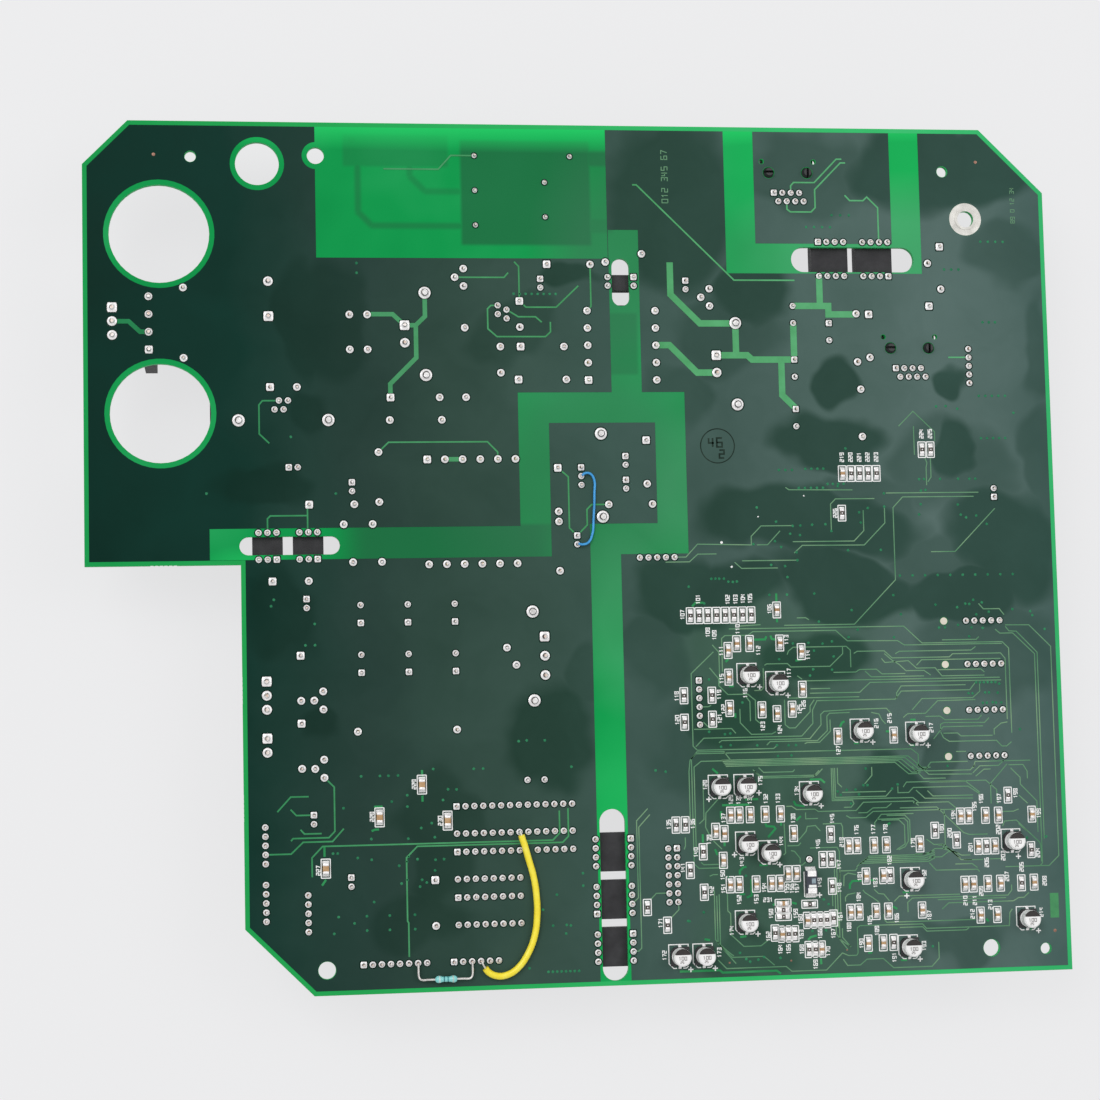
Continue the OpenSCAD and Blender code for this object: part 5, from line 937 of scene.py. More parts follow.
stripe_shapes, minus_shapes = [], []
for name in sleeved:
    for order, points in enumerate(solids(name)):
        u, v, du, dv, top = box_of(points)
        foot, reach = points[:, 2].min(), max(du, dv) / 2 + STRIPE_LIFT
        neck = BOARD_UNDER - (LARGE_NECK if reach > LARGE_CAN_R else SMALL_NECK)
        facing = (MAIN_FACING if name == "main_capacitor" else FACING) + FACING_STEP * order
        turns = [facing + STRIPE_TURN * (2 * k / STRIPE_STEPS - 1) for k in range(STRIPE_STEPS + 1)]
        stripe_shapes.append(around(u, v, reach, turns, foot + FOOT_GAP, neck))
        for level in np.arange(foot + MINUS_FOOT, neck - MINUS_NECK, MINUS_STEP):
            minus_shapes.append(around(u, v, reach + MINUS_LIFT, turns[2:-2], level, level + MINUS_H))
stripe_ink = mottled("stripe_ink", [(176, 184, 196), (198, 204, 212)],
                     patch=4, gloss=(0.35, 0.5), grain=0.1, grain_size=0.4)
piece("sleeve_stripes", joined(stripe_shapes), stripe_ink)
piece("sleeve_minuses", joined(minus_shapes), sleeve)
dress(mottled("film_box", [(196, 160, 60), (214, 180, 84)],
              patch=10, gloss=(0.35, 0.5), grain=0.15, grain_size=0.4), "film_capacitors")
dress(mottled("blue_lacquer", [(36, 84, 150), (52, 104, 172)],
              patch=4, gloss=(0.2, 0.35), grain=0.25, grain_size=0.9), "disc_capacitors")

# Black epoxy parts: rectifiers, diodes, transistors, couplers and circuits, moulded on lead frames.
# Four rows of couplers show their bellies through the slots in the board.
black_epoxy = mottled("black_epoxy", [(34, 33, 36), (44, 43, 46), (54, 53, 56)],
                      patch=5, gloss=(0.5, 0.68), grain=0.3, grain_size=0.12, Specular_IOR_Level=0.3)
dress(black_epoxy, "bridge_rectifier", "axial_diodes", "small_diodes", "small_transistors", "input_switch",
      "control_switch", "left_rectifier", "right_rectifier", "regulator", "power_transistor", "microcontroller",
      "logic_circuits", "left_optos", "small_opto", "upper_optos", "lower_optos")

# Resistors, choke and crystal: the coated rods, the wound former and the tinned metal case.
# The networks are rows of film resistors dipped in one flat coat.
dress(mottled("resistor_coat", [(176, 150, 110), (196, 172, 132)],
              patch=3, gloss=(0.4, 0.55), grain=0.2, grain_size=0.5), "axial_resistors")
dress(mottled("cement_coat", [(120, 132, 128), (146, 156, 150)],
              patch=4, gloss=(0.6, 0.8), grain=0.4, grain_size=0.5), "power_resistors")
dress(mottled("network_coat", [(150, 96, 40), (172, 116, 56)],
              patch=3, gloss=(0.3, 0.45), grain=0.2, grain_size=0.5), "resistor_networks")
dress(mottled("choke_wire", [(140, 70, 34), (176, 98, 52)],
              patch=1.5, gloss=(0.25, 0.4), grain=0.4, grain_size=0.5), "choke")
dress(mottled("crystal_case", [(176, 178, 180), (204, 206, 206)],
              patch=6, gloss=(0.22, 0.36), Metallic=0.9), "crystal")

# Heat sinks: black anodised extrusions that stand on two tinned pegs each.
# The transformers are wound plastic bobbins with ferrite cores clamped round them,
# and the relay beside them is sealed in a plastic case.
dress(mottled("black_anodise", [(30, 31, 33), (44, 45, 48)],
              patch=6, gloss=(0.35, 0.5), grain=0.2, grain_size=0.25, Metallic=0.4),
      "input_heatsink", "left_heatsink", "middle_heatsink", "right_heatsink", "lower_heatsink")
dress(mottled("bobbin_tape", [(206, 190, 96), (222, 208, 120)],
              patch=9, gloss=(0.4, 0.55), grain=0.15, grain_size=0.6),
      "main_bobbin", "small_bobbin")
dress(mottled("ferrite", [(46, 46, 50), (62, 62, 66)],
              patch=3, gloss=(0.55, 0.75), grain=0.35, grain_size=0.3), "main_core", "small_core")
dress(mottled("relay_case", [(40, 42, 48), (52, 54, 60)],
              patch=14, gloss=(0.3, 0.45), grain=0.1, grain_size=0.5), "relay")

# Headers and jacks: nylon mouldings on the far side, held by pegs that come through the board.
# The side headers are natural nylon, and the jacks are black with split pegs.
dress(mottled("natural_nylon", [(214, 206, 190), (230, 224, 210)],
              patch=4, gloss=(0.45, 0.6), grain=0.15, grain_size=0.4),
      "side_headers", "power_headers")
dress(mottled("black_nylon", [(28, 28, 30), (40, 40, 42)],
              patch=6, gloss=(0.45, 0.6), grain=0.2, grain_size=0.3),
      "upper_jack", "lower_jack", "pin_headers")
# rows of posts: the first one's place, the step to the next, how many, and how far they drop
POST_DROP, POWER_DROP = 11.0, 14.0
post_rows = [
    (76.2, 8.2, 2.54, 0, 8, POST_DROP), (101.6, 8.2, 2.54, 0, 6, POST_DROP),
    (173.8, 86, 0, -2.54, 6, POST_DROP), (166.1, 38.2, 0, -2.54, 7, POST_DROP),
    (163.56, 38.2, 0, -2.54, 7, POST_DROP), (8.1, 194.5, 0, -3.96, 3, POWER_DROP),
    (50.2, 88, 0, -3.96, 3, POWER_DROP), (50.2, 72, 0, -3.96, 2, POWER_DROP)]
post_rows += [(253.8, v, 2.54, 0, 5, POST_DROP) for v in (102, 89.3, 75.9, 62.5)]
POST_HALF, POWER_HALF, POINT_SHARE = 0.42, 0.66, 0.55
POST_START, POINT_L, POINT_PAST = 2.4, 0.4, 0.05
post_shapes = []
for first_u, first_v, step_u, step_v, count, drop in post_rows:
    half_w = POST_HALF if drop == POST_DROP else POWER_HALF
    levels = ((half_w, BOARD_UNDER - POST_START), (half_w, BOARD_UNDER - drop + POINT_L),
              (half_w * POINT_SHARE, BOARD_UNDER - drop - POINT_PAST))
    for i in range(count):
        u, v = first_u + i * step_u, first_v + i * step_v
        corners = [spot(u + x * w, v + y * w, z)
                   for w, z in levels for x, y in ((1, 1), (-1, 1), (-1, -1), (1, -1))]
        post_shapes.append((corners, skin(len(levels), 4) + [(0, 1, 2, 3), (11, 10, 9, 8)]))
post_tin = mottled("post_tin", [(186, 184, 180), (214, 212, 208)],
                   patch=2, gloss=(0.25, 0.38), grain=0.15, grain_size=0.3, Metallic=0.85)
piece("header_posts", joined(post_shapes), post_tin)

# Solder joints: each lead's cone of solder, drawn up round its cut end by the wave.
# Square pads mark the first lead of a part. The leads are duller than the solder, and cut flat.
# Each fillet is painted darker at its foot, as shade where it meets the board.
LEAD_STAND = 1.2
JOINT_SIDES = 18
joint_turns = [2 * pi * (k + 0.5) / JOINT_SIDES for k in range(JOINT_SIDES)]
# the rings of a fillet: how far out between lead and pad, and how high
joint_steps = ((1.0, 0.0), (1.0, 0.06), (0.94, 0.12), (0.76, 0.19), (0.5, 0.3), (0.28, 0.48), (0.12, 0.8),
               (0.05, LEAD_STAND))
PAD_SHARE, PAD_SINK, LEAD_SHARE, CUFF = 0.96, 0.03, 0.78, 0.04
CROWN, CAP_SHARE, CAP_RISE = 0.02, 0.9, 0.05
LOW_BLOB, BLOB_RISE = 0.6, 0.5
SQUARE_FROM, PAD_CORNER, GAP_CORNER = 0.4, 1.3, 1.35
LEAD_LEAN, RIPPLE = 0.05, 0.03
CLEARANCE, GAP_LAP = 0.26, 0.05
GAP_LOW, GAP_HIGH = PLANE_TOP - 0.01, PLANE_TOP + 0.006
solder_tones = [(0.3, (232, 229, 228)), (0.5, (248, 246, 246)), (0.7, (254, 252, 252))]
# painted shade: the fillet darkens over its lowest tenth of a millimetre
foot_shade_tones = [(0.0, (120, 128, 122)), (0.55, (226, 228, 226)), (1.0, (1.0, 1.0, 1.0, 1.0))]
FOOT_H = 0.1
# the finishes of a joint's faces, in the order of their slots, and the bands where the lead's side shows
BRIGHT, DULL_SHADE, CUT, PEG = range(4)
LEAD_BANDS, PEG_BANDS = (5, 6, 7), (7,)
# the turn of the lead's side that is painted dark as shade and dark reflection, how it swings, and its edge
DULL_SHADE_TURN, DULL_SHADE_SWING, DULL_SHADE_EDGE = 2.3, 0.8, 0.35
PEG_W = 3.0


def pad_of(points):
    """Middle (u, v), half width and top level of one joint's solid."""
    low, high = points.min(0), points.max(0)
    u, v = (low[:2] + high[:2]) / 2 - (LAYOUT_U, LAYOUT_V)
    return u, v, (high[0] - low[0]) / 2, high[2]


def square_reach(turn, most):
    """How far a square reaches at a turn, in half widths, with its corners cut at most."""
    return min(1 / max(abs(cos(turn)), abs(sin(turn))), most)


def joint(points, order):
    """One fillet: rings from the pad's outline up to the lead's cut end. Square ones have orders below 0."""
    u, v, half_w, crown_level = pad_of(points)
    pad = PAD_SHARE * half_w
    crown = points[points[:, 2] > crown_level - CROWN]
    lead = LEAD_SHARE * np.hypot(crown[:, 0] - LAYOUT_U - u, crown[:, 1] - LAYOUT_V - v).max()
    # its order sets how it ripples and leans, so no two neighbours are alike
    wobble = 0.5 + 0.5 * sin(order * 2.4)
    scale = BLOB_RISE if crown_level - PLANE_TOP < LOW_BLOB else 1.0
    lean_u, lean_v = LEAD_LEAN * sin(order * 1.7), LEAD_LEAN * cos(order * 2.9)
    corners = []
    for share, rise in joint_steps:
        level = PLANE_TOP + rise * scale - (PAD_SINK if rise == 0 else 0)
        for turn in joint_turns:
            reach = lead + CUFF + (pad - lead - CUFF) * share
            if order < 0 and share > SQUARE_FROM:
                corner = square_reach(turn, PAD_CORNER)
                reach *= 1 + (corner - 1) * (share - SQUARE_FROM) / (1 - SQUARE_FROM)
            reach *= 1 + RIPPLE * wobble * sin(2 * turn + order) * (0.2 < share < 1)
            corners.append(spot(u + reach * cos(turn) + lean_u * rise,
                                v + reach * sin(turn) + lean_v * rise, level))
    rise = joint_steps[-1][1] * scale
    for turn in joint_turns:
        corners.append(spot(u + CAP_SHARE * lead * cos(turn) + lean_u * rise,
                            v + CAP_SHARE * lead * sin(turn) + lean_v * rise, PLANE_TOP + rise + CAP_RISE))
    bands = len(joint_steps)
    top = tuple(bands * JOINT_SIDES + k for k in range(JOINT_SIDES))
    return corners, skin(bands + 1, JOINT_SIDES) + [tuple(range(JOINT_SIDES - 1, -1, -1)), top]


def joint_faces(order, peg):
    """Each face's finish in one joint: solder, and the lead's duller bare side on the far side, painted dark as
    shade.
    """
    dull_shade_turn = DULL_SHADE_TURN + DULL_SHADE_SWING * sin(order * 1.3)
    faces = [BRIGHT] * (len(joint_steps) * JOINT_SIDES)
    for band in PEG_BANDS if peg else LEAD_BANDS:
        for k in range(JOINT_SIDES):
            if cos(2 * pi * (k + 1) / JOINT_SIDES - dull_shade_turn) > DULL_SHADE_EDGE:
                faces[band * JOINT_SIDES + k] = DULL_SHADE
    return faces + [BRIGHT, PEG if peg else CUT]


def shaded_gap_ring(points, square):
    """The etched gap round a pad, a ring painted dark as the shade round the joint."""
    u, v, pad, top = pad_of(points)
    corners = []
    for reach, level in ((pad - GAP_LAP, GAP_LOW), (pad + CLEARANCE, GAP_LOW), (pad + CLEARANCE, GAP_HIGH),
                         (pad - GAP_LAP, GAP_HIGH)):
        for turn in joint_turns:
            far = reach * (square_reach(turn, GAP_CORNER) if square else 1)
            corners.append(spot(u + far * cos(turn), v + far * sin(turn), level))
    return corners, skin(4, JOINT_SIDES, loop=True)


def solder_coat():
    finish, tree, shader, place = new_finish("bright_solder", Metallic=0.3)
    tone = ramp(tree, noise(tree, place, 1.2), solder_tones)
    # painted shade at the fillet's foot
    height = node(tree, "SeparateXYZ", {0: place}).outputs["Z"]
    rise = remap(tree, height, PLANE_TOP * MM, (PLANE_TOP + FOOT_H) * MM)
    tone = blend(tree, 1.0, tone, ramp(tree, rise, foot_shade_tones), "MULTIPLY")
    fine = noise(tree, place, 0.5)
    lay_on(tree, shader, tone, remap(tree, fine, 0.3, 0.7, 0.2, 0.36), (fine, 0.3, 0.5))
    return finish


solder_finish = solder_coat()
# the lead's side: partly its duller metal, partly painted shade and dark reflection
dull_shaded_lead = mottled("dull_lead_shade", [(66, 60, 56), (98, 88, 80), (124, 112, 104)],
                    patch=3, gloss=(0.3, 0.45), grain=0.3, grain_size=0.2, Metallic=0.4)
cut_end = mottled("cut_lead_end", [(236, 234, 233), (206, 182, 166), (242, 240, 239)],
                  patch=11, gloss=(0.3, 0.45), grain=0.3, grain_size=0.1, Metallic=0.4)
peg_end = mottled("peg_end", [(186, 184, 182), (236, 235, 234)],
                  patch=0.9, gloss=(0.3, 0.45), grain=0.3, grain_size=0.3, Metallic=0.4)
shade_ring_shapes = []
for name, node_name, sign in (("round_fillets", "solder_joints", 1), ("square_fillets", "square_joints", -1)):
    joint_solids = solids(node_name)
    fillets = [joint(points, sign * (i + 1)) for i, points in enumerate(joint_solids)]
    made = piece(name, joined(fillets), solder_finish, smooth=True)
    for lead_finish in (dull_shaded_lead, cut_end, peg_end):
        made.data.materials.append(lead_finish)
    slots = []
    for i, points in enumerate(joint_solids):
        slots += joint_faces(i, np.ptp(points[:, 0]) > PEG_W)
        shade_ring_shapes.append(shaded_gap_ring(points, sign < 0))
    made.data.polygons.foreach_set("material_index", slots)
    made.data.polygons.foreach_set("use_smooth", [slot in (BRIGHT, DULL_SHADE) for slot in slots])
    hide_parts(node_name)
# painted shade: a dark ring round every pad
gap_shade = mottled("gap_shade_mask", [(8, 34, 26), (22, 50, 41)],
                   patch=40, gloss=(0.3, 0.45), Specular_IOR_Level=MASK_SHEEN)
piece("gap_shade_rings", joined(shade_ring_shapes), gap_shade)

# Chips: small ceramic blocks with tinned ends, glued down and wave soldered to two pads.
# Capacitors are tan ceramic, and resistors carry a dark glass square on a pale block.
# The tabs of the cans and the ends of the tantalum capacitor are soldered the same way.
CAP_LAP, RESISTOR_LAP = 0.6, 0.44
END_REACH, END_LIFT, END_BEVEL = 0.88, 0.035, 0.14
end_fall = ((0.35, 0.62), (0.6, 0.4), (0.85, 0.2), (1.0, 0.05))
GLASS_L, GLASS_W, GLASS_CORNER = 1.14, 1.1, 0.1
CODE_SHARE, CODE_CORNER = 0.3, 0.06
# levels from the block's top
GLASS_LOW, GLASS_HIGH, CODE_LOW, CODE_HIGH = -0.01, 0.03, 0.02, 0.045
TAB_W, TAB_H = 0.8, 0.8
BLOCK_REACH, BLOCK_W_SHARE, BLOCK_H_SHARE = END_REACH + 0.2, 0.86, 0.6
tan_ceramic = mottled("tan_ceramic", [(164, 124, 82), (184, 146, 102), (200, 168, 128)],
                      patch=2.2, gloss=(0.4, 0.55), grain=0.2, grain_size=0.15)
pale_ceramic = mottled("pale_ceramic", [(176, 172, 166), (200, 197, 190)],
                       patch=1.6, gloss=(0.45, 0.6), grain=0.2, grain_size=0.15)
dress(tan_ceramic, "chip_capacitors")
dress(pale_ceramic, "chip_resistors")


def soldered_end(u, v, direction, inner, outer, width, height, lap):
    """A tinned end and its fillet, lofted along direction from its lap to the pad's far edge."""
    along = Vector(direction)
    side = Vector((-along.y, along.x))
    # each station's place, its spread, and its share of the height
    stations = [(inner - lap, 0.92, 1), (inner - lap + 0.05, 1, 1), (inner - 0.02, 1.01, 1),
                (inner + 0.1, 1.04, 0.9)]
    stations += [(inner + (outer - inner) * t, 1.05 + 0.06 * t, share) for t, share in end_fall]
    corners = []
    for place, spread, share in stations:
        half_w = (width / 2 + END_LIFT) * spread
        top = (height + END_LIFT) * share
        edge = min(END_BEVEL, top * 0.5)
        for x, z in ((-half_w, 0), (-half_w, top - edge), (-half_w + edge, top), (half_w - edge, top),
                     (half_w, top - edge), (half_w, 0)):
            p = along * place + side * x
            corners.append(spot(u + p.x, v + p.y, PLANE_TOP + z))
    last = 6 * (len(stations) - 1)
    return corners, skin(len(stations), 6) + [(5, 4, 3, 2, 1, 0), tuple(last + k for k in range(6))]


end_shapes, glaze_shapes, code_shapes = [], [], []
for chips, lap in ((chip_caps, CAP_LAP), (chip_resistors, RESISTOR_LAP)):
    for u, v, du, dv, top in chips:
        direction = (0, 1) if dv > du else (1, 0)
        half_l, width = max(du, dv) / 2, min(du, dv)
        for sign in (1, -1):
            turned = (sign * direction[0], sign * direction[1])
            end_shapes.append(
                soldered_end(u, v, turned, half_l, half_l + END_REACH, width, top - PLANE_TOP, lap))
for u, v, du, dv, top in chip_resistors:
    width, height = (GLASS_L, GLASS_W) if dv > du else (GLASS_W, GLASS_L)
    glass = rounded(u, v, width, height, GLASS_CORNER)
    code = rounded(u, v, width * CODE_SHARE, height * CODE_SHARE, CODE_CORNER)
    glaze_shapes.append(plate(glass, top + GLASS_LOW, top + GLASS_HIGH))
    code_shapes.append(plate(code, top + CODE_LOW, top + CODE_HIGH))
can_bases = [box_of(points) for points in solids("can_bases")]
for u, v, du, dv, top in can_bases:
    for sign in (1, -1):
        end_shapes.append(soldered_end(u, v, (0, sign), dv / 2, dv / 2 + END_REACH, TAB_W, TAB_H, CAP_LAP))
tantalum_box = box_of(solids("tantalum_capacitor")[0])
for sign in (1, -1):
    u, v, du, dv, top = tantalum_box
    width, height = du * BLOCK_W_SHARE, (top - PLANE_TOP) * BLOCK_H_SHARE
    end_shapes.append(soldered_end(u, v, (0, sign), dv / 2, dv / 2 + BLOCK_REACH, width, height, CAP_LAP))
chip_ends = piece("tinned_ends", joined(end_shapes), solder_finish, smooth=True)
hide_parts("chip_ends")
glass_dark = mottled("dark_glass", [(46, 38, 34), (74, 62, 54)],
                     patch=0.8, gloss=(0.25, 0.4), grain=0.15, grain_size=0.1)
piece("resistor_glass", joined(glaze_shapes), glass_dark)
piece("resistor_codes", joined(code_shapes), white_ink)

# Can capacitors: drawn aluminium cans crimped onto black bases, for surface soldering.
# A black segment on the top marks the negative side, with two short grey numbers below it.
can_metal = mottled("can_aluminium", [(240, 239, 238), (252, 252, 252)],
                    patch=3, gloss=(0.28, 0.4), grain=0.12, grain_size=0.2, Metallic=0.12)
dress(can_metal, "can_capacitors")
dress(mottled("black_base", [(26, 26, 28), (38, 38, 40)],
              patch=3, gloss=(0.45, 0.6), grain=0.2, grain_size=0.2), "can_bases")
CAN_FLAT_R, CAN_EDGE_R, CAN_DROP = 2.12, 2.46, 0.34
MOON_CHORD, MOON_STEPS = 0.78, 16
# levels of the ink from the can's top
MOON_LOW, MOON_HIGH, MARK_LOW, MARK_HIGH = -0.01, 0.02, -0.005, 0.012
# the ink on the rolled shoulder, in section: radius, and height from the can's top
shoulder = ((CAN_FLAT_R - 0.02, 0.02), (CAN_FLAT_R - 0.06, -0.02), (CAN_EDGE_R - 0.02, -0.02 - CAN_DROP),
            (CAN_EDGE_R + 0.02, 0.02 - CAN_DROP))
# the numbers: digits, place from the can's middle, size and line width
can_numbers = (("100", -0.1, -0.2, 0.92, 0.19), ("25", -0.3, -1.3, 0.62, 0.14))
moon_start = atan2(MOON_CHORD, sqrt(CAN_FLAT_R ** 2 - MOON_CHORD ** 2))
moon_turns = [moon_start + (pi - 2 * moon_start) * k / MOON_STEPS for k in range(MOON_STEPS + 1)]
moon_shapes, can_marks = [], []
for u, v, du, dv, top in cans:
    flat = [(u + CAN_FLAT_R * cos(turn), v + CAN_FLAT_R * sin(turn)) for turn in moon_turns]
    moon_shapes.append(plate(flat, top + MOON_LOW, top + MOON_HIGH))
    edge_corners = [spot(u + r * cos(turn), v + r * sin(turn), top + z)
                    for turn in moon_turns for r, z in shoulder]
    last = 4 * MOON_STEPS
    edge_sides = skin(MOON_STEPS + 1, 4, inward=True) + [(0, 1, 2, 3), (last + 3, last + 2, last + 1, last)]
    moon_shapes.append((edge_corners, edge_sides))
    for digits, off_u, off_v, size, line_w in can_numbers:
        can_marks += number(digits, u + off_u, v + off_v, size, line_w, top + MARK_LOW, top + MARK_HIGH,
                            upright=False)
moon_ink = mottled("can_black_ink", [(24, 20, 20), (36, 28, 26)], patch=1.2, gloss=(0.4, 0.55))
piece("can_moons", joined(moon_shapes), moon_ink)
grey_ink = mottled("can_grey_ink", [(104, 100, 100), (140, 136, 134)], patch=0.8, gloss=(0.5, 0.65))
piece("can_marks", joined(can_marks), grey_ink)

# Tantalum capacitor: a moulded block with folded tin ends, its marked end towards the plus sign.
# A pale bar is printed on the case beside a short blue-grey mark of painted sheen, and a thick white line on the
# board repeats the bar.
dark_case = mottled("tantalum_block", [(40, 44, 56), (58, 62, 76)],
                    patch=2.5, gloss=(0.35, 0.5), grain=0.2, grain_size=0.2)
dress(dark_case, "tantalum_capacitor")
case_u, case_v, du, dv, case_top = tantalum_box
PRINT_LOW, PRINT_HIGH, TIN_HIGH = case_top - 0.01, case_top + 0.02, case_top + 0.05


def bar(left, right, front, back, low, high):
    """A flat oblong, placed from the middle of the case."""
    return plate([(case_u + left, case_v + front), (case_u + right, case_v + front),
                  (case_u + right, case_v + back), (case_u + left, case_v + back)], low, high)


case_bars = [bar(-1.0, 1.2, -1.55, -0.8, PRINT_LOW, PRINT_HIGH),
             bar(-1.55, 1.5, -4.5, -3.95, INK_LOW, INK_HIGH)]
for side in (-1.8, 1.75):
    side_line = [(case_u + side, case_v - 4.3), (case_u + side, case_v + 2.9)]
    case_bars.append(strip(side_line, INK_W, INK_LOW, INK_HIGH))
piece("tantalum_bars", joined(case_bars), white_ink)
folded_tin = [bar(-1.25, 1.3, -3.2, -1.7, PRINT_LOW, TIN_HIGH), bar(-1.25, 1.25, 1.6, 3.2, PRINT_LOW, TIN_HIGH)]
piece("tantalum_tin", joined(folded_tin), solder_finish)
# painted sheen: a pale blue-grey patch on the dark case top
painted_sheen = mottled("tantalum_painted_sheen", [(112, 132, 144), (162, 180, 188)], patch=1.0, gloss=(0.4, 0.55))
piece("tantalum_painted_sheen", bar(-0.1, 1.05, -0.4, 1.0, PRINT_LOW, PRINT_HIGH), painted_sheen)

# Patch resistor: a small coated resistor added by hand across two header joints at the front edge.
# Its swollen ends hold the lead caps, and four painted bands give its value.
PATCH_U, PATCH_V, PATCH_L = 99.2, 3.6, 6.2
PATCH_Z = PLANE_TOP + 1.2
PATCH_START = PATCH_U - PATCH_L / 2
PATCH_SIDES = 24
PATCH_LEAD_R, LEAD_IN = 0.32, 0.2
# half the body's outline, as place and radius; the other half mirrors it
patch_profile = [
    (0.0, 0.33), (0.04, 0.52), (0.3, 0.8), (0.6, 0.96), (1.0, 1.02),
    (1.4, 0.98), (1.75, 0.86), (2.05, 0.78), (2.4, 0.76)]
patch_profile += [(PATCH_L - place, r) for place, r in patch_profile[::-1]]
COAT_TONE, BAND_EDGE = (132, 214, 212), 0.01
bands = [(0.16, 0.22, (196, 226, 220)), (0.38, 0.43, (36, 122, 128)), (0.55, 0.6, (52, 140, 144)),
         (0.78, 0.84, (178, 200, 190))]


def patch_finish():
    finish, tree, shader, place = new_finish("banded_coat", Coat_Weight=0.4, Coat_Roughness=0.15)
    along = node(tree, "SeparateXYZ", {0: place}).outputs["X"]
    start = (LAYOUT_U + PATCH_START) * MM
    share = remap(tree, along, start, start + PATCH_L * MM)
    stops = [(0.0, COAT_TONE)]
    for low, high, tone in bands:
        stops += [(low - BAND_EDGE, COAT_TONE), (low, tone), (high, tone), (high + BAND_EDGE, COAT_TONE)]
    lay_on(tree, shader, ramp(tree, share, stops), remap(tree, noise(tree, place, 0.5), 0, 1, 0.25, 0.5))
    return finish


def wire(name, route, radius, finish):
    """A round wire on a smooth curve through the route's points, which are in metres."""
    curve = bpy.data.curves.new(name, "CURVE")
    curve.dimensions = "3D"
    curve.bevel_depth = radius * MM
    curve.bevel_resolution = 5
    curve.use_fill_caps = True
    spline = curve.splines.new("BEZIER")
    spline.bezier_points.add(len(route) - 1)
    for point, place in zip(spline.bezier_points, route):
        point.co = place
        point.handle_left_type = point.handle_right_type = "AUTO"
    spline.resolution_u = 8
    curve.materials.append(finish)
    made = placed(name, curve)
    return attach(made, "root")


patch_turns = [2 * pi * k / PATCH_SIDES for k in range(PATCH_SIDES)]
patch_corners = [spot(PATCH_START + place, PATCH_V + r * cos(turn), PATCH_Z + r * sin(turn))
                 for place, r in patch_profile for turn in patch_turns]
last = (len(patch_profile) - 1) * PATCH_SIDES
patch_sides = skin(len(patch_profile), PATCH_SIDES)
patch_sides += [tuple(range(PATCH_SIDES - 1, -1, -1)), tuple(last + k for k in range(PATCH_SIDES))]
patch_body = piece("patch_body", (patch_corners, patch_sides), patch_finish(), smooth=True)
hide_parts("patch_resistor")
tinned_wire = mottled("tinned_wire", [(190, 188, 184), (222, 220, 216)],
                      patch=1.0, gloss=(0.22, 0.36), grain=0.15, grain_size=0.3, Metallic=0.85)
for name, lead_u, body_u in (("patch_lead_left", 91.44, PATCH_START + LEAD_IN),
                             ("patch_lead_right", 106.68, PATCH_U + PATCH_L / 2 - LEAD_IN)):
    turn = 0.8 if body_u > lead_u else -0.8
    lead_route = [(lead_u, 7.95), (lead_u, 6.6), (lead_u, 5.2), (lead_u + 0.15 * turn, 4.4),
                  (lead_u + 0.55 * turn, 3.85), (lead_u + turn * 1.2, PATCH_V),
                  ((lead_u + body_u) / 2, PATCH_V), (body_u, PATCH_V)]
    wire(name, [spot(u, v, PATCH_Z) for u, v in lead_route], PATCH_LEAD_R, tinned_wire)

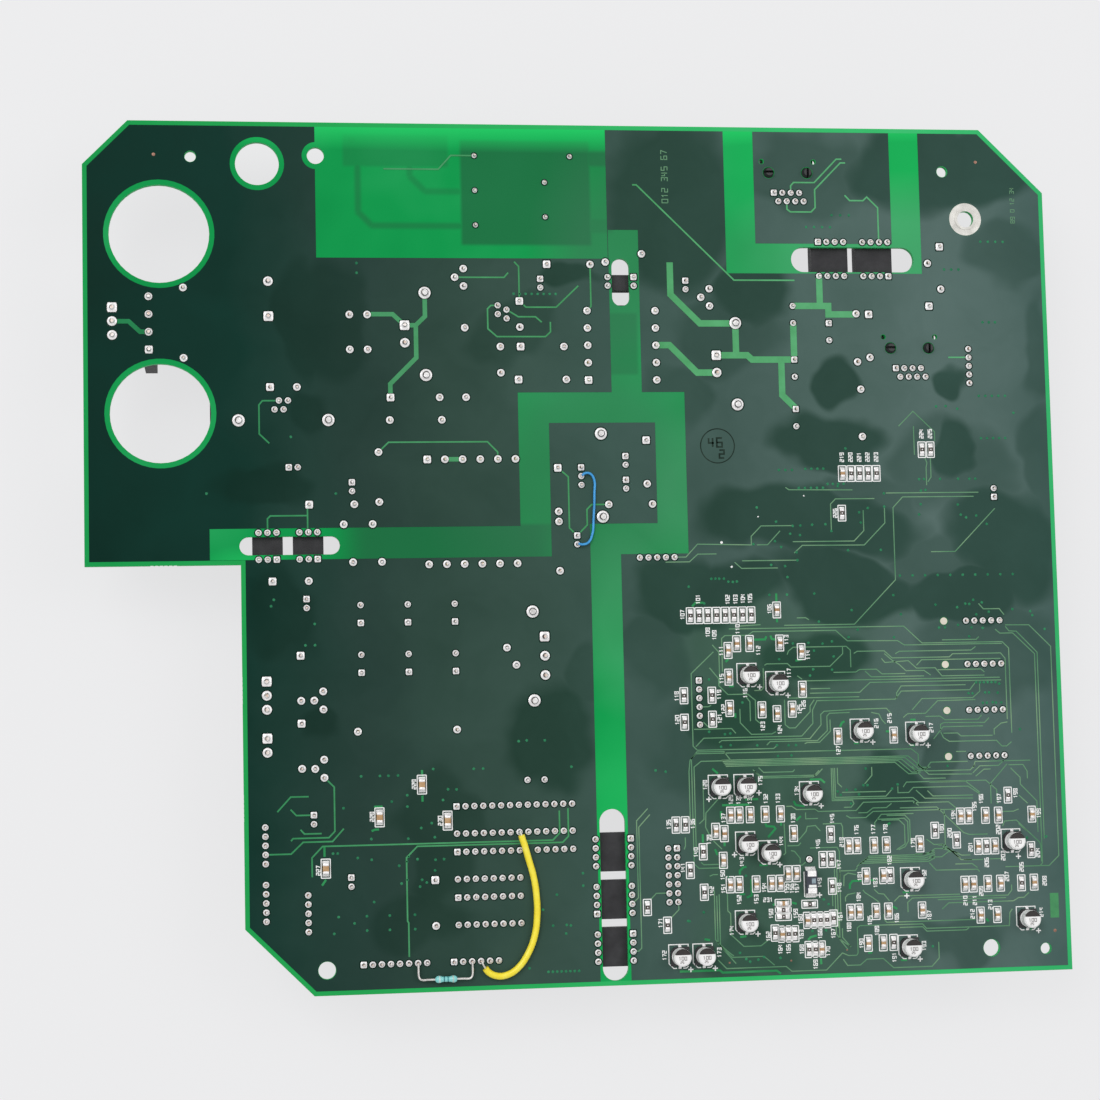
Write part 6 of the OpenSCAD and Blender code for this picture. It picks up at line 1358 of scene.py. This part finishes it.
# Yellow jumper: one length of insulated wire that mends the control circuit from joint to joint.
# It lies loose on the board, and its stripped ends are laid on two cut leads and soldered.
# Its route is given as u, v and rise from where it lies, and so are the ends'.
WIRE_R, BARE_R, LIE = 0.95, 0.3, 0.14
TIP_RISE = LEAD_STAND - LIE
jumper_points = [
    (121.2, 43.2, 0.95), (121.4, 42.4, 0.85), (122, 40.6, 0.7), (123, 37, 0.4), (124.6, 31, 0),
    (125.3, 25, 0), (125.3, 20.5, 0), (124.5, 15, 0), (122.5, 10, 0), (119.5, 6, 0), (116.5, 4.2, 0),
    (113.5, 4, 0), (111.2, 5.1, 0), (110.3, 6.2, 0.2)]
jumper_route = [spot(u, v, PLANE_TOP + LIE + rise + WIRE_R) for u, v, rise in jumper_points]
yellow_cover = mottled("yellow_cover", [(246, 220, 30), (253, 233, 48), (254, 241, 84)],
                       patch=4, gloss=(0.32, 0.46), grain=0.1, grain_size=0.3, Coat_Weight=0.2, Coat_Roughness=0.25)
jumper = wire("yellow_jumper", jumper_route, WIRE_R, yellow_cover)
tip_starts = [(120.9, 44.4, TIP_RISE), (121.05, 43.8, TIP_RISE), (121.3, 42.9, TIP_RISE)]
tip_ends = [(110.4, 6.1, 0.7), (110.0, 6.7, 0.85), (109.6, 7.4, TIP_RISE), (109.3, 8.1, TIP_RISE)]
for name, tip in (("jumper_tip_upper", tip_starts), ("jumper_tip_lower", tip_ends)):
    tip_route = [spot(u, v, PLANE_TOP + LIE + rise + BARE_R) for u, v, rise in tip]
    wire(name, tip_route, BARE_R, tinned_wire)
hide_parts("jumper_wire")


def run_length(made):
    """Length of a wire's smooth line, in metres."""
    curve = made.data.copy()
    curve.bevel_depth = 0.0
    probe = bpy.data.objects.new("probe", curve)
    mesh = probe.to_mesh()
    points = [vertex.co.copy() for vertex in mesh.vertices]
    length = sum((b - a).length for a, b in zip(points, points[1:]))
    probe.to_mesh_clear()
    bpy.data.objects.remove(probe)
    bpy.data.curves.remove(curve)
    return length


run_length(jumper)

# Blue wire: a fine insulated wire across the isolation strip, from the regulator to a small capacitor.
# Its ends are stripped and soldered to two joints, and glue holds it in a low arch.
FINE_R = 0.35
blue_points = [
    (141, 145.5, TIP_RISE), (141.8, 146.1, 0.85), (143.4, 146.1, 0.3), (144.5, 144.8, 0), (144.6, 140, 0),
    (144.2, 133, 0), (143.7, 128.4, 0), (142.6, 126.3, 0.2), (140.8, 125.6, 0.8), (139.5, 125.8, TIP_RISE)]
blue_route = [spot(u, v, PLANE_TOP + LIE + rise + FINE_R) for u, v, rise in blue_points]
blue_cover = mottled("blue_cover", [(48, 146, 214), (66, 166, 230)],
                     patch=3, gloss=(0.35, 0.5), grain=0.1, grain_size=0.3)
blue_wire = wire("blue_wire", blue_route, FINE_R, blue_cover)
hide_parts("fine_wire")
